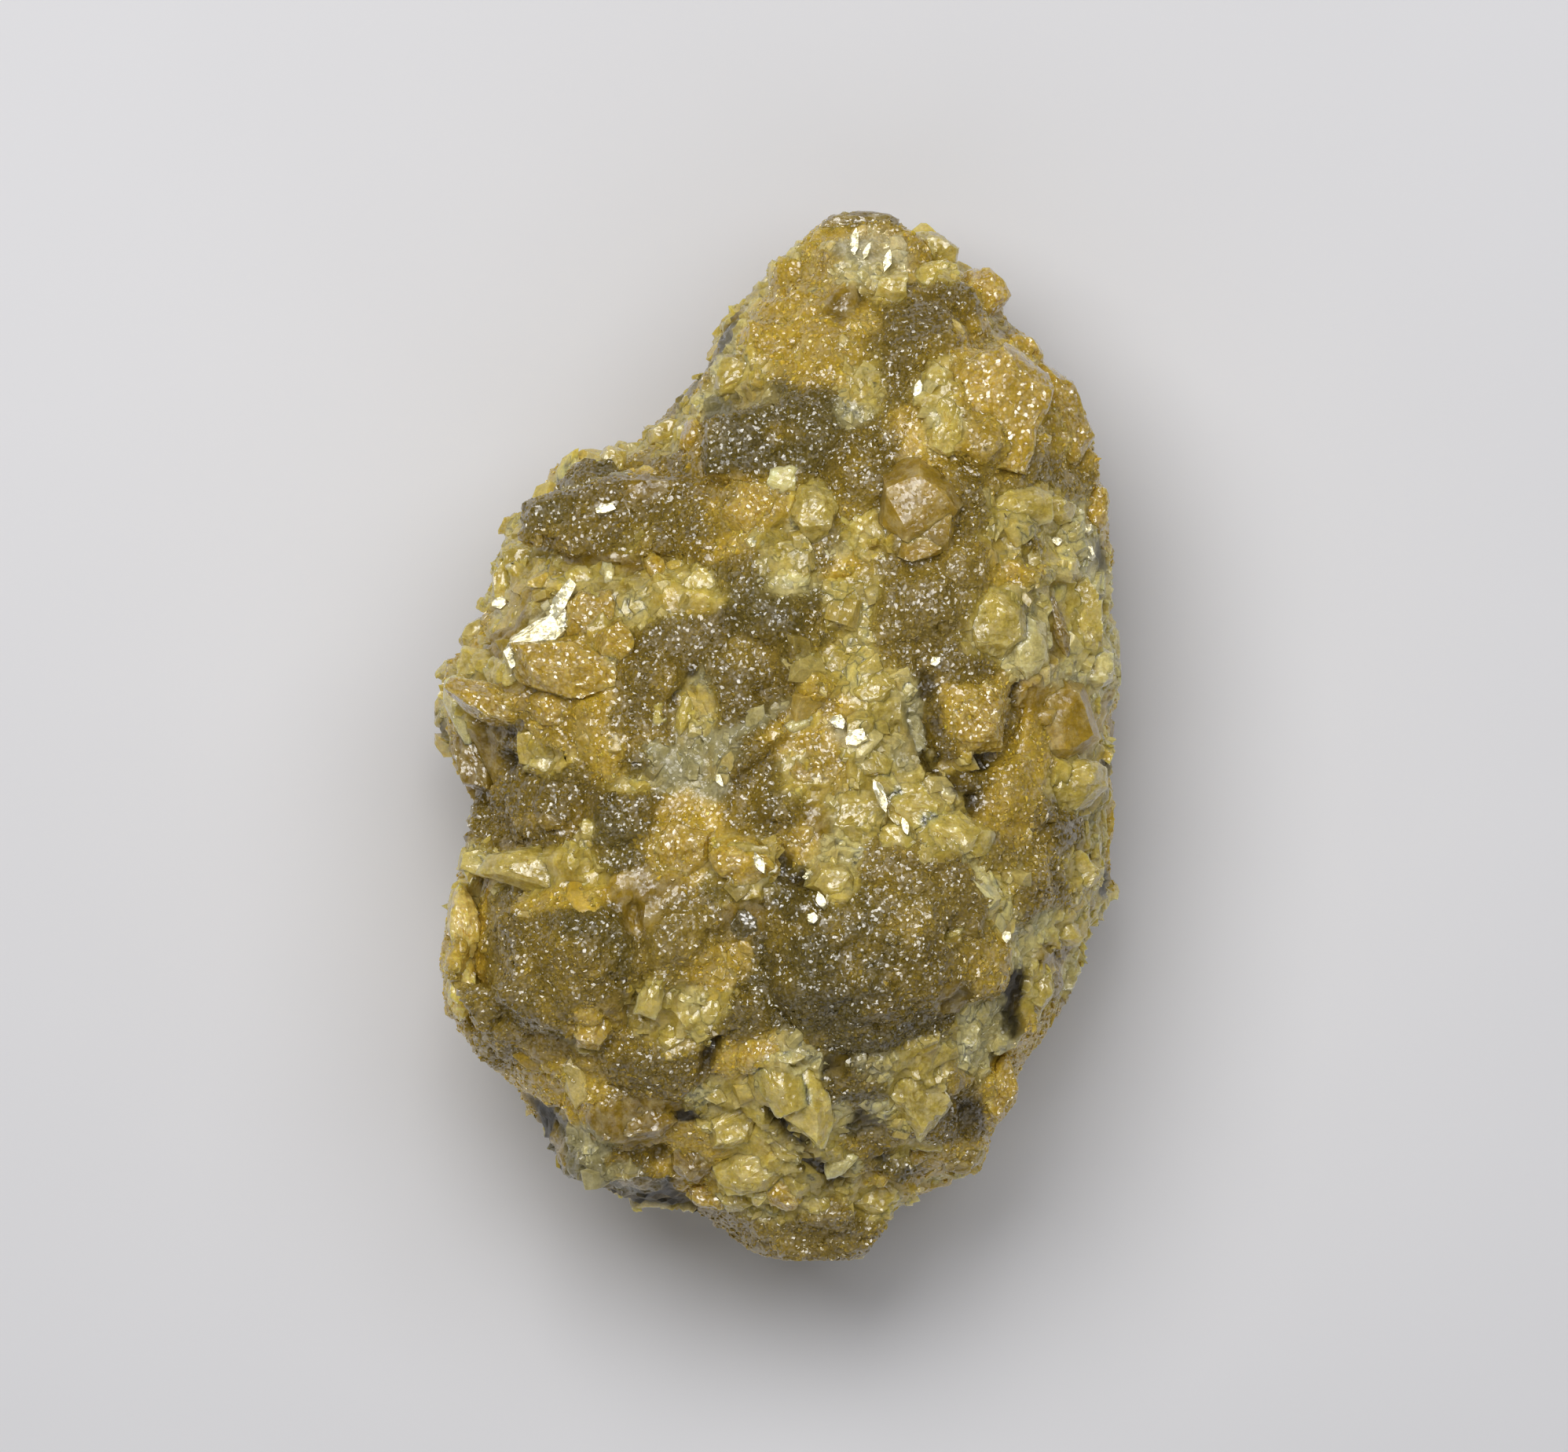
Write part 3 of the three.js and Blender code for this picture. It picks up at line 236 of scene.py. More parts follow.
# The single crystals that stand out of the seams: finish, x, y, half sizes across, along and up
# (hundredths of a millimetre), turn, lean towards +X and towards +Y (degrees), how far the middle is
# sunk (hundredths of a millimetre), and the form.
CRYSTALS = [
    ("silver", -222, 92, 45, 15, 18, 38, -6.5, 10, -21, "plate"),
    ("silver", -200, 127, 20, 7, 14, 58, -8, 8, -15, "plate"),
    ("honey", -192, 64, 52, 30, 24, -4, 4, -8, 6, "block"),
    ("honey", -178, 116, 27, 24, 20, 20, 6, 8, 3, "block"),
    ("honey", -150, 86, 20, 24, 20, -10, 8, -4, 4, "block"),
    ("honey", -212, 28, 28, 20, 18, 12, 0, -12, 6, "block"),
    ("lemon", -242, 62, 26, 22, 20, 30, -6, -4, 5, "block"),
    ("lemon", -266, 60, 25, 14, 18, -12, -4, 4, 4, "blade"),
    ("honey", -262, 28, 40, 14, 17, -20, -4, -12, 5, "blade"),
    ("cream", -298, 22, 9, 24, 12, 22, -12, 0, 8, "blade"),
    ("ribbed", -296, -180, 15, 40, 16, 4, -4, 2, 6, "block"),
    ("ribbed", -297, -236, 14, 36, 16, -3, -4, -4, 6, "block"),
    ("amber", -280, -20, 22, 38, 20, 20, -16, -4, 8, "block"),
    ("lemon", -212, -22, 25, 15, 13, 4, 0, 4, 5, "block"),
    ("lemon", -284, 96, 16, 14, 12, 40, -14, 4, 5, "block"),
    ("lemon", -256, 144, 14, 20, 14, 0, -12, 4, 5, "block"),
    ("lemon", -234, 172, 24, 15, 13, 12, -6, 6, 5, "block"),
    ("honey", 205, 306, 58, 60, 25, -20, 4, -5, 9, "block"),
    ("taupe", 80, 487, 44, 15, 16, 0, 2, 14, 8, "block"),
    ("silver", 76, 468, 4.5, 12, 7, -4, -5, 13, -3, "plate"),
    ("silver", 88, 460, 3, 8, 7, -22, -7, 8, -3, "plate"),
    ("silver", 107, 450, 4, 9, 7, -14, -4, 9, -3, "plate"),
    ("silver", 296, 196, 6, 4, 8, 20, -6.5, 10, -6, "plate"),
    ("silver", 300, 174, 4, 6, 8, 10, -6.5, 10, -6, "plate"),
    ("silver", 268, 184, 5, 4, 7, -20, -6.5, 10, -5, "plate"),
    ("silver", 32, -132, 5, 3, 7, 40, -6.5, 10, -6, "plate"),
    ("silver", 44, -156, 4, 7, 7, 20, -6.5, 10, -6, "plate"),
    ("silver", 36, -172, 5, 5, 7, 0, -6.5, 10, -5, "plate"),
    ("silver", -52, -42, 3, 6, 7, 30, -6.5, 10, -6, "plate"),
    ("silver", 220, -190, 4, 5, 7, 0, -6.5, 10, -5, "plate"),
    ("lemon", 162, 294, 16, 30, 16, 0, -6, 2, 4, "block"),
    ("honey", 274, 302, 26, 48, 22, 14, 14, 2, 12, "block"),
    ("honey", 236, 366, 24, 18, 16, -30, 8, 8, 7, "block"),
    ("honey", 198, 422, 22, 24, 16, 10, 8, 8, 7, "block"),
    ("honey", 304, 220, 14, 26, 16, 6, 16, 2, 6, "block"),
    ("resin", 136, 216, 38, 40, 22, 46, 8, -9, 9, "block"),
    ("resin", 138, 180, 26, 14, 14, 8, 4, -16, 9, "block"),
    ("lemon", 76, -74, 30, 25, 20, 30, -6, 6, 6, "octahedron"),
    ("lemon", 128, -66, 36, 24, 20, -12, 4, 6, 8, "block"),
    ("lemon", 162, -92, 36, 22, 18, -14, 8, -6, 6, "block"),
    ("lemon", 112, -98, 20, 14, 13, 0, 0, -12, 4, "block"),
    ("lemon", 104, -48, 13, 20, 14, 18, 8, 10, 2, "block"),
    ("honey", -26, -118, 34, 26, 20, -20, 4, 8, 5, "octahedron"),
    ("honey", -90, -106, 32, 28, 16, 10, 0, 4, 8, "block"),
    ("lemon", 55, -138, 20, 17, 16, -10, 4, -6, 3, "block"),
    ("lemon", -115, -242, 20, 8, 9, 66, 0, 6, 0, "blade"),
    ("lemon", 168, -186, 15, 5, 6, 32, 0, 6, 0, "blade"),
    ("olive", -28, -172, 19, 12, 10, -30, 4, 8, 2, "blade"),
    ("lemon", -216, -126, 50, 20, 14, -6, 2, 8, 7, "block"),
    ("lemon", 136, -328, 28, 38, 20, 8, 6, -6, 8, "block"),
    ("lemon", 26, -336, 26, 38, 20, 16, -4, 4, 7, "block"),
    ("lemon", 2, -320, 14, 26, 15, 24, -6, 8, 4, "blade"),
    ("honey", 10, -428, 22, 26, 17, 30, 8, -8, 6, "octahedron"),
    ("lemon", 36, -440, 20, 14, 13, -30, 6, -8, 5, "block"),
    ("lemon", -22, -408, 36, 24, 20, 16, -4, -6, 6, "block"),
    ("lemon", -40, -434, 24, 16, 15, -26, -6, -8, 6, "block"),
    ("lemon", -40, -362, 26, 24, 20, 30, 0, 8, 7, "block"),
    ("lemon", 10, -392, 18, 10, 11, -30, 0, 0, 3, "block"),
    ("cream", 66, -402, 15, 8, 9, 28, 0, 4, 0, "blade"),
    ("honey", 132, -396, 20, 14, 13, -14, 4, -4, 4, "block"),
    ("taupe", 176, -398, 28, 20, 16, 16, 8, -8, 8, "block"),
    ("lemon", 96, -432, 25, 21, 16, 10, 6, -8, 7, "block"),
    ("amber", -132, -366, 42, 20, 15, 10, -4, -8, 7, "block"),
    ("amber", -80, -398, 20, 26, 16, 6, -4, -8, 7, "block"),
    ("resin", 266, 16, 36, 40, 18, 12, 12, -6, 14, "block"),
    ("lemon", 206, 112, 30, 36, 22, 10, 2, 4, 10, "block"),
    ("cream", 238, 88, 20, 32, 22, 8, 6, 0, 6, "block"),
    ("lemon", 290, 112, 22, 36, 20, 4, 12, 2, 7, "block"),
    ("amber", 267, 108, 8, 30, 12, 14, 6, 0, 0, "blade"),
    ("cream", 304, 68, 18, 20, 14, 12, 14, 0, 6, "block"),
    ("lemon", 278, -44, 30, 26, 18, 12, 10, 0, 8, "block"),
    ("honey", 192, 22, 28, 34, 18, -14, 4, -2, 10, "block"),
    ("lemon", 226, 216, 26, 13, 13, 6, 6, 4, 3, "blade"),
    ("lemon", 260, 218, 20, 13, 12, -8, 8, 4, 4, "block"),
    ("lemon", -207, 160, 7, 15, 9, -20, -4, 6, 0, "blade"),
    ("cream", -158, 150, 6, 13, 9, -12, 0, 6, 0, "blade"),
    ("lemon", -183, 148, 12, 14, 10, 10, 0, 4, 1, "block"),
    ("honey", -112, 156, 12, 20, 13, 10, 0, 6, 2, "block"),
    ("lemon", -72, 142, 20, 22, 14, -30, 0, 4, 4, "block"),
    ("lemon", 38, 214, 24, 22, 17, 30, 4, 4, 4, "block"),
    ("lemon", 84, 194, 26, 22, 18, -20, 4, 4, 4, "octahedron"),
    ("cream", 8, 242, 16, 13, 12, 40, 4, 8, 2, "block"),
    ("honey", -20, 218, 26, 26, 15, 40, 0, 4, 7, "block"),
    ("silver", 77, -2, 10, 7, 9, 22, -7, 10, -3, "plate"),
    ("silver", 60, 13, 7, 6, 8, -30, -7, 10, -2, "plate"),
    ("silver", -160, 215, 10, 4, 7, 14, -7, 10, -4, "plate"),
    ("silver", 136, 327, 4, 8, 7, -14, -7, 10, -3, "plate"),
    ("silver", -14, -120, 4, 10, 8, 24, -7, 10, -14, "plate"),
    ("silver", 100, -56, 5, 16, 8, 22, -7, 10, -14, "plate"),
    ("silver", 124, -86, 3, 8, 8, 14, -7, 10, -10, "plate"),
    ("silver", 152, 70, 5, 4, 6, 20, -7, 10, -4, "plate"),
    ("silver", -262, 126, 7, 5, 7, 10, -7, 10, -6, "plate"),
    ("cream", 30, 16, 24, 9, 11, 26, 0, 6, 2, "blade"),
    ("lemon", 92, 46, 24, 18, 15, 30, 4, 4, 5, "block"),
    ("honey", 34, -34, 22, 18, 12, -16, 0, 0, 6, "block"),
    ("lemon", 84, -24, 28, 16, 13, -10, 4, 0, 5, "block"),
    ("chalk", 130, 2, 14, 26, 14, 10, 4, 4, 4, "block"),
    ("lemon", 110, 424, 16, 13, 12, 10, 0, 4, 2, "block"),
    ("lemon", 150, 460, 24, 15, 14, -16, 6, 8, 5, "block"),
    ("lemon", 152, 440, 22, 12, 12, 10, 6, 4, 4, "block"),
    ("lemon", 155, 334, 14, 18, 13, 12, 4, 6, 3, "block"),
    ("lemon", -34, 342, 21, 17, 16, 30, -6, 6, 5, "block"),
    ("honey", -78, 282, 12, 18, 14, -12, -4, 6, 3, "block"),
    ("lemon", -102, 288, 20, 12, 12, 20, -6, 6, 4, "block"),
    ("lemon", -154, 262, 10, 12, 10, 10, -4, 8, 3, "block"),
    ("lemon", -62, -262, 15, 13, 13, 30, 0, 0, 2, "block"),
    ("lemon", -98, -278, 20, 14, 13, 60, 0, 0, 4, "block"),
    ("honey", -174, -276, 22, 18, 12, 30, -4, -8, 7, "block"),
    ("honey", -12, -298, 26, 22, 15, 30, 0, -4, 7, "block"),
    ("honey", 214, -338, 17, 28, 17, -8, 14, -8, 7, "block"),
    ("cream", 278, -230, 12, 16, 12, -20, 14, -6, 4, "block"),
    ("lemon", 246, -234, 14, 24, 14, 12, 12, -4, 5, "block"),
    ("lemon", 276, -184, 16, 12, 12, -20, 12, 0, 4, "block"),
    ("lemon", 284, -128, 26, 18, 14, -10, 12, 0, 6, "block"),
    ("honey", -62, -436, 24, 16, 14, -20, -6, -8, 6, "block"),
    ("honey", 24, -92, 20, 14, 13, -10, 0, -4, 4, "block"),
    ("lemon", -86, 22, 9, 20, 11, -10, 0, 4, 2, "block"),
    ("lemon", -110, 22, 10, 12, 9, 0, 0, 4, 2, "block"),
    ("lemon", -174, -86, 10, 12, 9, 20, 0, 4, 1, "block"),
]
# How etched the single crystals of each finish are.
CRYSTAL_ETCH = {
    "silver": 0.2, "honey": 0.80, "ribbed": 0.30, "resin": 0.28, "olive": 0.8, "taupe": 0.35,
    "chalk": 0.3, "amber": 0.25, "lemon": 0.22, "cream": 0.22,
}
# How far their edges are rounded.
CRYSTAL_ROUND = {"honey": 0.26, "taupe": 0.60, "ribbed": 0.35, "lemon": 0.18, "cream": 0.18}
# How streaked they are.
CRYSTAL_STREAK = {"silver": 0.8, "ribbed": 1.0, "lemon": 0.35, "cream": 0.5, "taupe": 0.3}
# What each finish does: lift of its patch, size and steepness of its broken faces (mm, mm, rise per mm),
# how etched, how waxy, how glossy and how streaked it is, and how often it is on the hidden sides.
FINISHES = {
    "olive": (0.030, 0.10, 0.34, 1.00, 0.12, 0.30, 0.0, 2),
    "umber": (0.028, 0.10, 0.32, 1.00, 0.18, 0.30, 0.1, 4),
    "taupe": (0.020, 0.11, 0.28, 0.85, 0.30, 0.30, 0.2, 4),
    "streaked": (0.016, 0.22, 0.24, 0.55, 0.35, 0.45, 1.0, 4),
    "honey": (0.018, 0.17, 0.20, 0.60, 0.60, 0.45, 0.0, 8),
    "amber": (0.000, 0.40, 0.14, 0.25, 0.75, 0.50, 0.0, 3),
    "resin": (0.000, 0.30, 0.16, 0.10, 0.80, 0.60, 0.0, 0),
    "lemon": (-0.018, 0.26, 0.36, 0.15, 0.75, 0.60, 0.0, 9),
    "cream": (-0.020, 0.18, 0.38, 0.20, 0.55, 0.50, 0.0, 3),
    "chalk": (-0.022, 0.12, 0.36, 0.30, 0.30, 0.20, 0.0, 1),
    "slate": (-0.020, 0.12, 0.34, 0.10, 0.10, 0.00, 0.0, 0.5),
    "silver": (0.010, 0.14, 0.36, 0.55, 0.40, 1.00, 0.6, 0),
    "brown": (-0.075, 0.12, 0.22, 0.70, 0.20, 0.40, 0.0, 1),
    "ribbed": (0.015, 0.20, 0.20, 0.30, 0.60, 0.50, 1.0, 0),
    "ash": (-0.010, 0.20, 0.28, 0.40, 0.35, 0.50, 0.3, 1),
}
FACE_SIZE, HOW_OFTEN = 1, 7
KINDS = list(FINISHES)
# The patches are placed about the stone's drawn middle, which is this far from the middle of its box (mm).
PATCH_SHIFT = (-0.025, 0.015)


def linear(red, green, blue):
    """A colour given as a screen shows it, each channel from 0 to 255, for a shader."""
    shares = np.array([red, green, blue]) / 255.0
    light = np.where(shares <= 0.04045, shares / 12.92, ((shares + 0.055) / 1.055) ** 2.4)
    return tuple(float(v) for v in light)


def colour_property(name, description, screen):
    """A colour that can be changed in the sidebar, given as a screen shows it."""
    return bpy.props.FloatVectorProperty(
        name=name, description=description, subtype="COLOR", size=3, min=0.0, max=1.0,
        default=linear(*screen),
    )


class StoneColours(bpy.types.PropertyGroup):
    """The colours of the stone's finishes."""

    olive: colour_property("Olive crust", "Darkest etched crust", (108, 92, 35))
    umber: colour_property("Umber crust", "Brown etched crust", (131, 109, 37))
    taupe: colour_property("Taupe crust", "Pale brown etched crust", (152, 128, 53))
    streaked: colour_property("Streaked crust", "Brown crust drawn out in streaks", (146, 122, 54))
    honey: colour_property("Honey crust", "Golden etched crystal", (199, 165, 56))
    amber: colour_property("Amber crystal", "Deep golden smooth crystal", (140, 113, 30))
    resin: colour_property("Resin block", "Cloudy deep honey crystal with flat faces", (170, 138, 38))
    lemon: colour_property("Lemon chips", "Broken pale yellow crystal", (199, 176, 86))
    cream: colour_property("Cream chips", "Broken whitish crystal", (222, 206, 144))
    chalk: colour_property("Chalky crumbs", "Dull greenish white crumbs", (170, 160, 120))
    # Partly painted shade: along the cracks it paints their shade; elsewhere it is a dark film.
    slate: colour_property("Slate film", "Dark grey film in cracks", (35, 27, 6))
    # Partly painted highlight: the cleavage faces and glinting spots are painted near white, besides being
    # made partly metallic.
    silver: colour_property("Silver facets", "Bright cleavage faces", (224, 212, 178))
    # Partly painted shade: it paints the shade of the trenches and cracks it lines; elsewhere it is dark
    # brown crust.
    brown: colour_property("Brown hollows", "Dark brown crust of trenches and cracks", (54, 41, 12))
    ribbed: colour_property("Ribbed plate", "Golden crystal with cross ribs", (236, 204, 100))
    ash: colour_property("Ash film", "Grey green film near the base", (108, 98, 58))


class StoneShape(bpy.types.PropertyGroup):
    """The sizes of the stone's relief and small pieces, in millimetres."""

    mesh_step: bpy.props.FloatProperty(
        name="Mesh step", description="Size of the smallest face of the body, in mm",
        default=0.0515, min=0.03, max=0.3,
    )
    ragged: bpy.props.FloatProperty(
        name="Ragged edges", description="How far the edge of a patch wanders, in mm",
        default=0.075, min=0.0, max=0.3,
    )
    relief: bpy.props.FloatProperty(
        name="Relief", description="Share of the full height of the broken faces",
        default=1.0, min=0.0, max=2.0, subtype="FACTOR",
    )
    chip_count: bpy.props.IntProperty(
        name="Chips", description="How many broken chips are set in the pale seams",
        default=5600, min=0, max=6000,
    )
    grain_count: bpy.props.IntProperty(
        name="Grains", description="How many small crystals are set on the etched crust",
        default=21000, min=0, max=24000,
    )


class StageLook(bpy.types.PropertyGroup):
    """The floor and the light of the stage."""

    floor: colour_property("Floor", "Colour of the floor", (230, 230, 234))
    key: bpy.props.FloatProperty(
        name="Key light", description="Brightness of the main soft light", default=6.2, min=0.0,
    )
    fill: bpy.props.FloatProperty(
        name="Fill light", description="Brightness of the second soft light", default=6.0, min=0.0,
    )
    sky: bpy.props.FloatProperty(
        name="Sky", description="Brightness of the dim surroundings", default=0.07, min=0.0,
    )


def hashed(cells, salt):
    """Even random numbers from 0 to 1, the same for the same whole numbers."""
    i, j, k = (cells[..., axis].astype(np.int64) for axis in range(3))
    h = (i * 73856093) ^ (j * 19349663) ^ (k * 83492791) ^ (salt * 2654435761)
    for _ in range(2):
        h &= 0xFFFFFFFF
        h = (h ^ (h >> 16)) * 0x45D9F3B
    h &= 0xFFFFFFFF
    return (h ^ (h >> 16)) / 4294967296.0


def noise(points, size, salt):
    """Smooth noise from -1 to 1 whose lumps are size across."""
    scaled = points / size
    low = np.floor(scaled)
    part = scaled - low
    part = part * part * (3.0 - 2.0 * part)
    total = np.zeros(len(points))
    for corner in range(8):
        step = np.array([corner & 1, (corner >> 1) & 1, corner >> 2])
        share = np.prod(np.where(step == 1, part, 1.0 - part), axis=1)
        total += share * hashed(low + step, salt)
    return total * 2.0 - 1.0


def rough_noise(points, size, salt, octaves=3):
    """Noise with finer and weaker noise added to it."""
    total = np.zeros(len(points))
    for octave in range(octaves):
        total += noise(points, size / 2**octave, salt + octave) / 2**octave
    return total / 1.6


def cell_field(points, size, salt):
    """Nearest of a set of scattered middles: its whole-number key, and the way from it to the point."""
    scaled = points / size
    low = np.floor(scaled)
    best = np.full(len(points), np.inf)
    key = low.copy()
    away = np.zeros_like(points)
    for corner in range(27):
        step = np.array([corner % 3 - 1, corner // 3 % 3 - 1, corner // 9 - 1])
        cell = low + step
        middle = cell + np.stack([hashed(cell, salt + axis) for axis in range(3)], axis=1)
        offset = scaled - middle
        far = np.linalg.norm(offset, axis=1)
        closer = far < best
        best[closer] = far[closer]
        key[closer] = cell[closer]
        away[closer] = offset[closer]
    return key, away * size


def broken_faces(points, size, salt):
    """Height of a surface broken into flat faces of about that size, each with its own tilt."""
    key, away = cell_field(points, size, salt)
    tilt = np.stack([hashed(key, salt + 11 + axis) for axis in range(3)], axis=1) * 2.0 - 1.0
    step = hashed(key, salt + 21) - 0.5
    return np.sum(away * tilt, axis=1) + step * size * 0.6


def blended(first, second, share):
    """One row of colour per point, drawn that share of the way to the second."""
    return first * (1.0 - share[:, None]) + second * share[:, None]


def read_rows(items, key, width=1, kind=float):
    """One value of every item of a mesh, as an array with that many columns."""
    values = np.zeros(len(items) * width, kind)
    items.foreach_get(key, values)
    return values if width == 1 else values.reshape(-1, width)


def mesh_arrays(mesh):
    """Points of a mesh, how many sides each face has, and the faces' corners one after another."""
    points = read_rows(mesh.vertices, "co", 3)
    sides = read_rows(mesh.polygons, "loop_total", 1, np.int32)
    loops = read_rows(mesh.loops, "vertex_index", 1, np.int32)
    return points, sides, loops


def surface_tree(points, sides, loops):
    """A tree that finds where a line meets the surface."""
    starts = np.concatenate([[0], np.cumsum(sides)[:-1]])
    faces = [loops[start : start + number].tolist() for start, number in zip(starts, sides)]
    return BVHTree.FromPolygons(points.tolist(), faces)


def stone_below(tree, x, y):
    """Where a line straight down at x, y (mm) meets the stone, or None."""
    return tree.ray_cast(Vector((x, y, RAY_TOP)), Vector((0.0, 0.0, -1.0)))[0]


def inside_box(points):
    """The points (mm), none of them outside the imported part's box."""
    low, high = (np.array(corner) / MM for corner in LOADED_BOX)
    return np.clip(points, low, high)


def new_mesh_object(name, points, corners, face_sizes, soft_angle=0.0):
    """A mesh object from points (mm) and the corners of its faces."""
    mesh = bpy.data.meshes.new(name)
    mesh.vertices.add(len(points))
    mesh.vertices.foreach_set("co", (np.asarray(points) * MM).ravel())
    mesh.loops.add(len(corners))
    mesh.loops.foreach_set("vertex_index", np.asarray(corners, np.int32))
    mesh.polygons.add(len(face_sizes))
    starts = np.concatenate([[0], np.cumsum(face_sizes)[:-1]]).astype(np.int32)
    mesh.polygons.foreach_set("loop_start", starts)
    mesh.update(calc_edges=True)
    mesh.validate()
    if soft_angle:
        mesh.shade_smooth()
        mesh.set_sharp_from_angle(angle=math.radians(soft_angle))
    else:
        mesh.shade_flat()
    piece = bpy.data.objects.new(name, mesh)
    bpy.context.scene.collection.objects.link(piece)
    return piece


def triangle_object(name, points, faces, soft_angle=0.0):
    """A mesh object from points (mm) and rows of three corners."""
    return new_mesh_object(name, points, faces.ravel(), np.full(len(faces), 3, np.int32), soft_angle)


def set_floats(mesh, name, values, where="POINT"):
    """A named number for each point or face of a mesh."""
    mesh.attributes.new(name, "FLOAT", where).data.foreach_set("value", values.astype(np.float32))


def set_colours(mesh, name, colours):
    """A named colour for each point of a mesh."""
    rgba = np.ones((len(colours), 4), np.float32)
    rgba[:, :3] = colours
    mesh.attributes.new(name, "FLOAT_COLOR", "POINT").data.foreach_set("color", rgba.ravel())


def read_floats(mesh, name):
    """The named number of each point."""
    return read_rows(mesh.attributes[name].data, "value", 1, np.float32)


def read_colours(mesh, name):
    """The named colour of each point."""
    return read_rows(mesh.attributes[name].data, "color", 4, np.float32)[:, :3].astype(float)


def fine_copy(step):
    """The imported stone's surface as even small faces: points (mm), way out at each, and the faces."""
    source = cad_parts[STONE].data.copy()
    source.transform(Matrix.Scale(1.0 / MM, 4))
    carrier = bpy.data.objects.new("fine_copy", source)
    bpy.context.scene.collection.objects.link(carrier)
    remesh = carrier.modifiers.new("fine", "REMESH")
    remesh.mode = "VOXEL"
    remesh.voxel_size = step
    depsgraph = bpy.context.evaluated_depsgraph_get()
    fine = bpy.data.meshes.new_from_object(carrier.evaluated_get(depsgraph))
    points, sides, loops = mesh_arrays(fine)
    normals = read_rows(fine.vertices, "normal", 3)
    bpy.data.objects.remove(carrier)
    bpy.data.meshes.remove(source)
    bpy.data.meshes.remove(fine)
    return points, normals, sides, loops


def patch_rows(tree):
    """Every patch as one row: middle and half sizes (mm), turn, and the number of its finish."""
    rows = []
    for kind, places in PATCHES.items():
        for x, y, wide, long, *turned in places:
            x, y = x / 100 + PATCH_SHIFT[0], y / 100 + PATCH_SHIFT[1]
            hit = stone_below(tree, x, y)
            inward = 1.0
            while hit is None and inward > 0.8:
                inward -= 0.02
                hit = stone_below(tree, x * inward, y * inward)
            height = hit.z if hit else RIM_HEIGHT
            turn = math.radians(turned[0]) if turned else 0.0
            rows.append((x, y, height, wide / 100, long / 100, turn, KINDS.index(kind)))
    return rows


def hidden_rows(points, normals, shown, rng, spacing=0.42, tries=9000):
    """Patches for the sides and the underside: near the rim most carry on the finish above them."""
    above = np.array(shown)
    low = np.flatnonzero((normals[:, 2] < -0.12) | (points[:, 2] < 1.5))
    chances = np.array([FINISHES[kind][HOW_OFTEN] for kind in KINDS], float)
    chances /= chances.sum()
    taken = []
    for index in rng.choice(low, tries):
        place = points[index]
        if all(np.sum((place - other) ** 2) > spacing**2 for other in taken):
            taken.append(place)
    rows = []
    for place in taken:
        wide, long = rng.uniform(0.20, 0.42, 2)
        turn = rng.uniform(0.0, math.pi)
        kind = rng.choice(len(KINDS), p=chances)
        nearest = above[np.argmin(np.sum((above[:, :3] - place) ** 2, axis=1))]
        upper = int(nearest[6])
        carried_on = rng.random() < 0.6
        if carried_on and np.sum((nearest[:3] - place) ** 2) < 1.0 and chances[upper] > 0.05:
            kind = upper
        # The dark finishes stay low on the hidden sides; higher up they are swapped for pale ones, painted
        # light standing in for light shining through the rim.
        if place[2] > 1.0 and KINDS[kind] in ("olive", "brown", "slate", "umber", "ash", "chalk"):
            kind = KINDS.index(("honey", "lemon", "taupe")[int(rng.integers(3))])
        rows.append((*place, wide, long, turn, kind))
    return rows


def nearest_patch(points, rows, hidden):
    """For each point: its patch, its finish, the next finish, and how far it is inside the patch (mm)."""
    table = np.array(rows, float)
    kinds = table[:, 6].astype(int)
    cosine, sine = np.cos(table[:, 5]), np.sin(table[:, 5])
    reach = np.maximum(table[:, 3], table[:, 4])
    patch = np.zeros(len(points), int)
    depth = np.zeros(len(points))
    beside = np.zeros(len(points), int)
    for start in range(0, len(points), BATCH):
        batch = slice(start, start + BATCH)
        part = points[batch]
        dx, dy, dz = (part[:, None, axis] - table[None, :, axis] for axis in range(3))
        across = (dx * cosine + dy * sine) / table[:, 3]
        along = (dy * cosine - dx * sine) / table[:, 4]
        score = np.sqrt(across**2 + along**2 + (dz / (reach * 1.6)) ** 2)
        raised = np.where(dz > 0.0, 3.0 * dz, dz)
        score[:, hidden] = np.sqrt((dx**2 + dy**2 + raised**2)[:, hidden]) / reach[hidden]
        first = np.argmin(score, axis=1)
        best = score[np.arange(len(part)), first]
        other = np.where(kinds[None, :] == kinds[first][:, None], np.inf, score)
        patch[batch] = first
        beside[batch] = kinds[np.argmin(other, axis=1)]
        depth[batch] = (other.min(axis=1) - best) * reach[first] * 0.5
    return patch, kinds[patch], beside, depth


def body_height(points, normals, kind, depth, relief):
    """How far each point of the body moves along its way out (mm), after the finish of its patch."""
    table = np.array([FINISHES[k] for k in KINDS])
    lift, size, steep, etch, _, _, streak, _ = (table[kind, column] for column in range(8))
    height = lift * np.clip(depth / EDGE_WIDTH, 0.0, 1.0)
    for face_size in sorted(set(table[:, FACE_SIZE])):
        here = size == face_size
        salt = int(face_size * 1000)
        height[here] += broken_faces(points[here], face_size, salt) * steep[here]
        height[here] += broken_faces(points[here], face_size * 0.45, salt + 50) * steep[here] * 0.5
    height += rough_noise(points, 0.5, 300) * 0.03
    crust = rough_noise(points, 0.11, 340, 2) * 0.02 * etch
    drawn = points @ np.diag([0.22, 1.0, 1.0])
    crust += rough_noise(drawn, 0.13, 350, 2) * 0.03 * streak
    height = (height + crust) * relief
    # The flanks are broken more steeply than the top, and the resting face stays flat.
    height *= 1.0 + 0.9 * np.clip(0.3 - normals[:, 2], 0.0, 1.0)
    height *= np.clip(points[:, 2] / BASE_FADE, 0.0, 1.0)
    return height


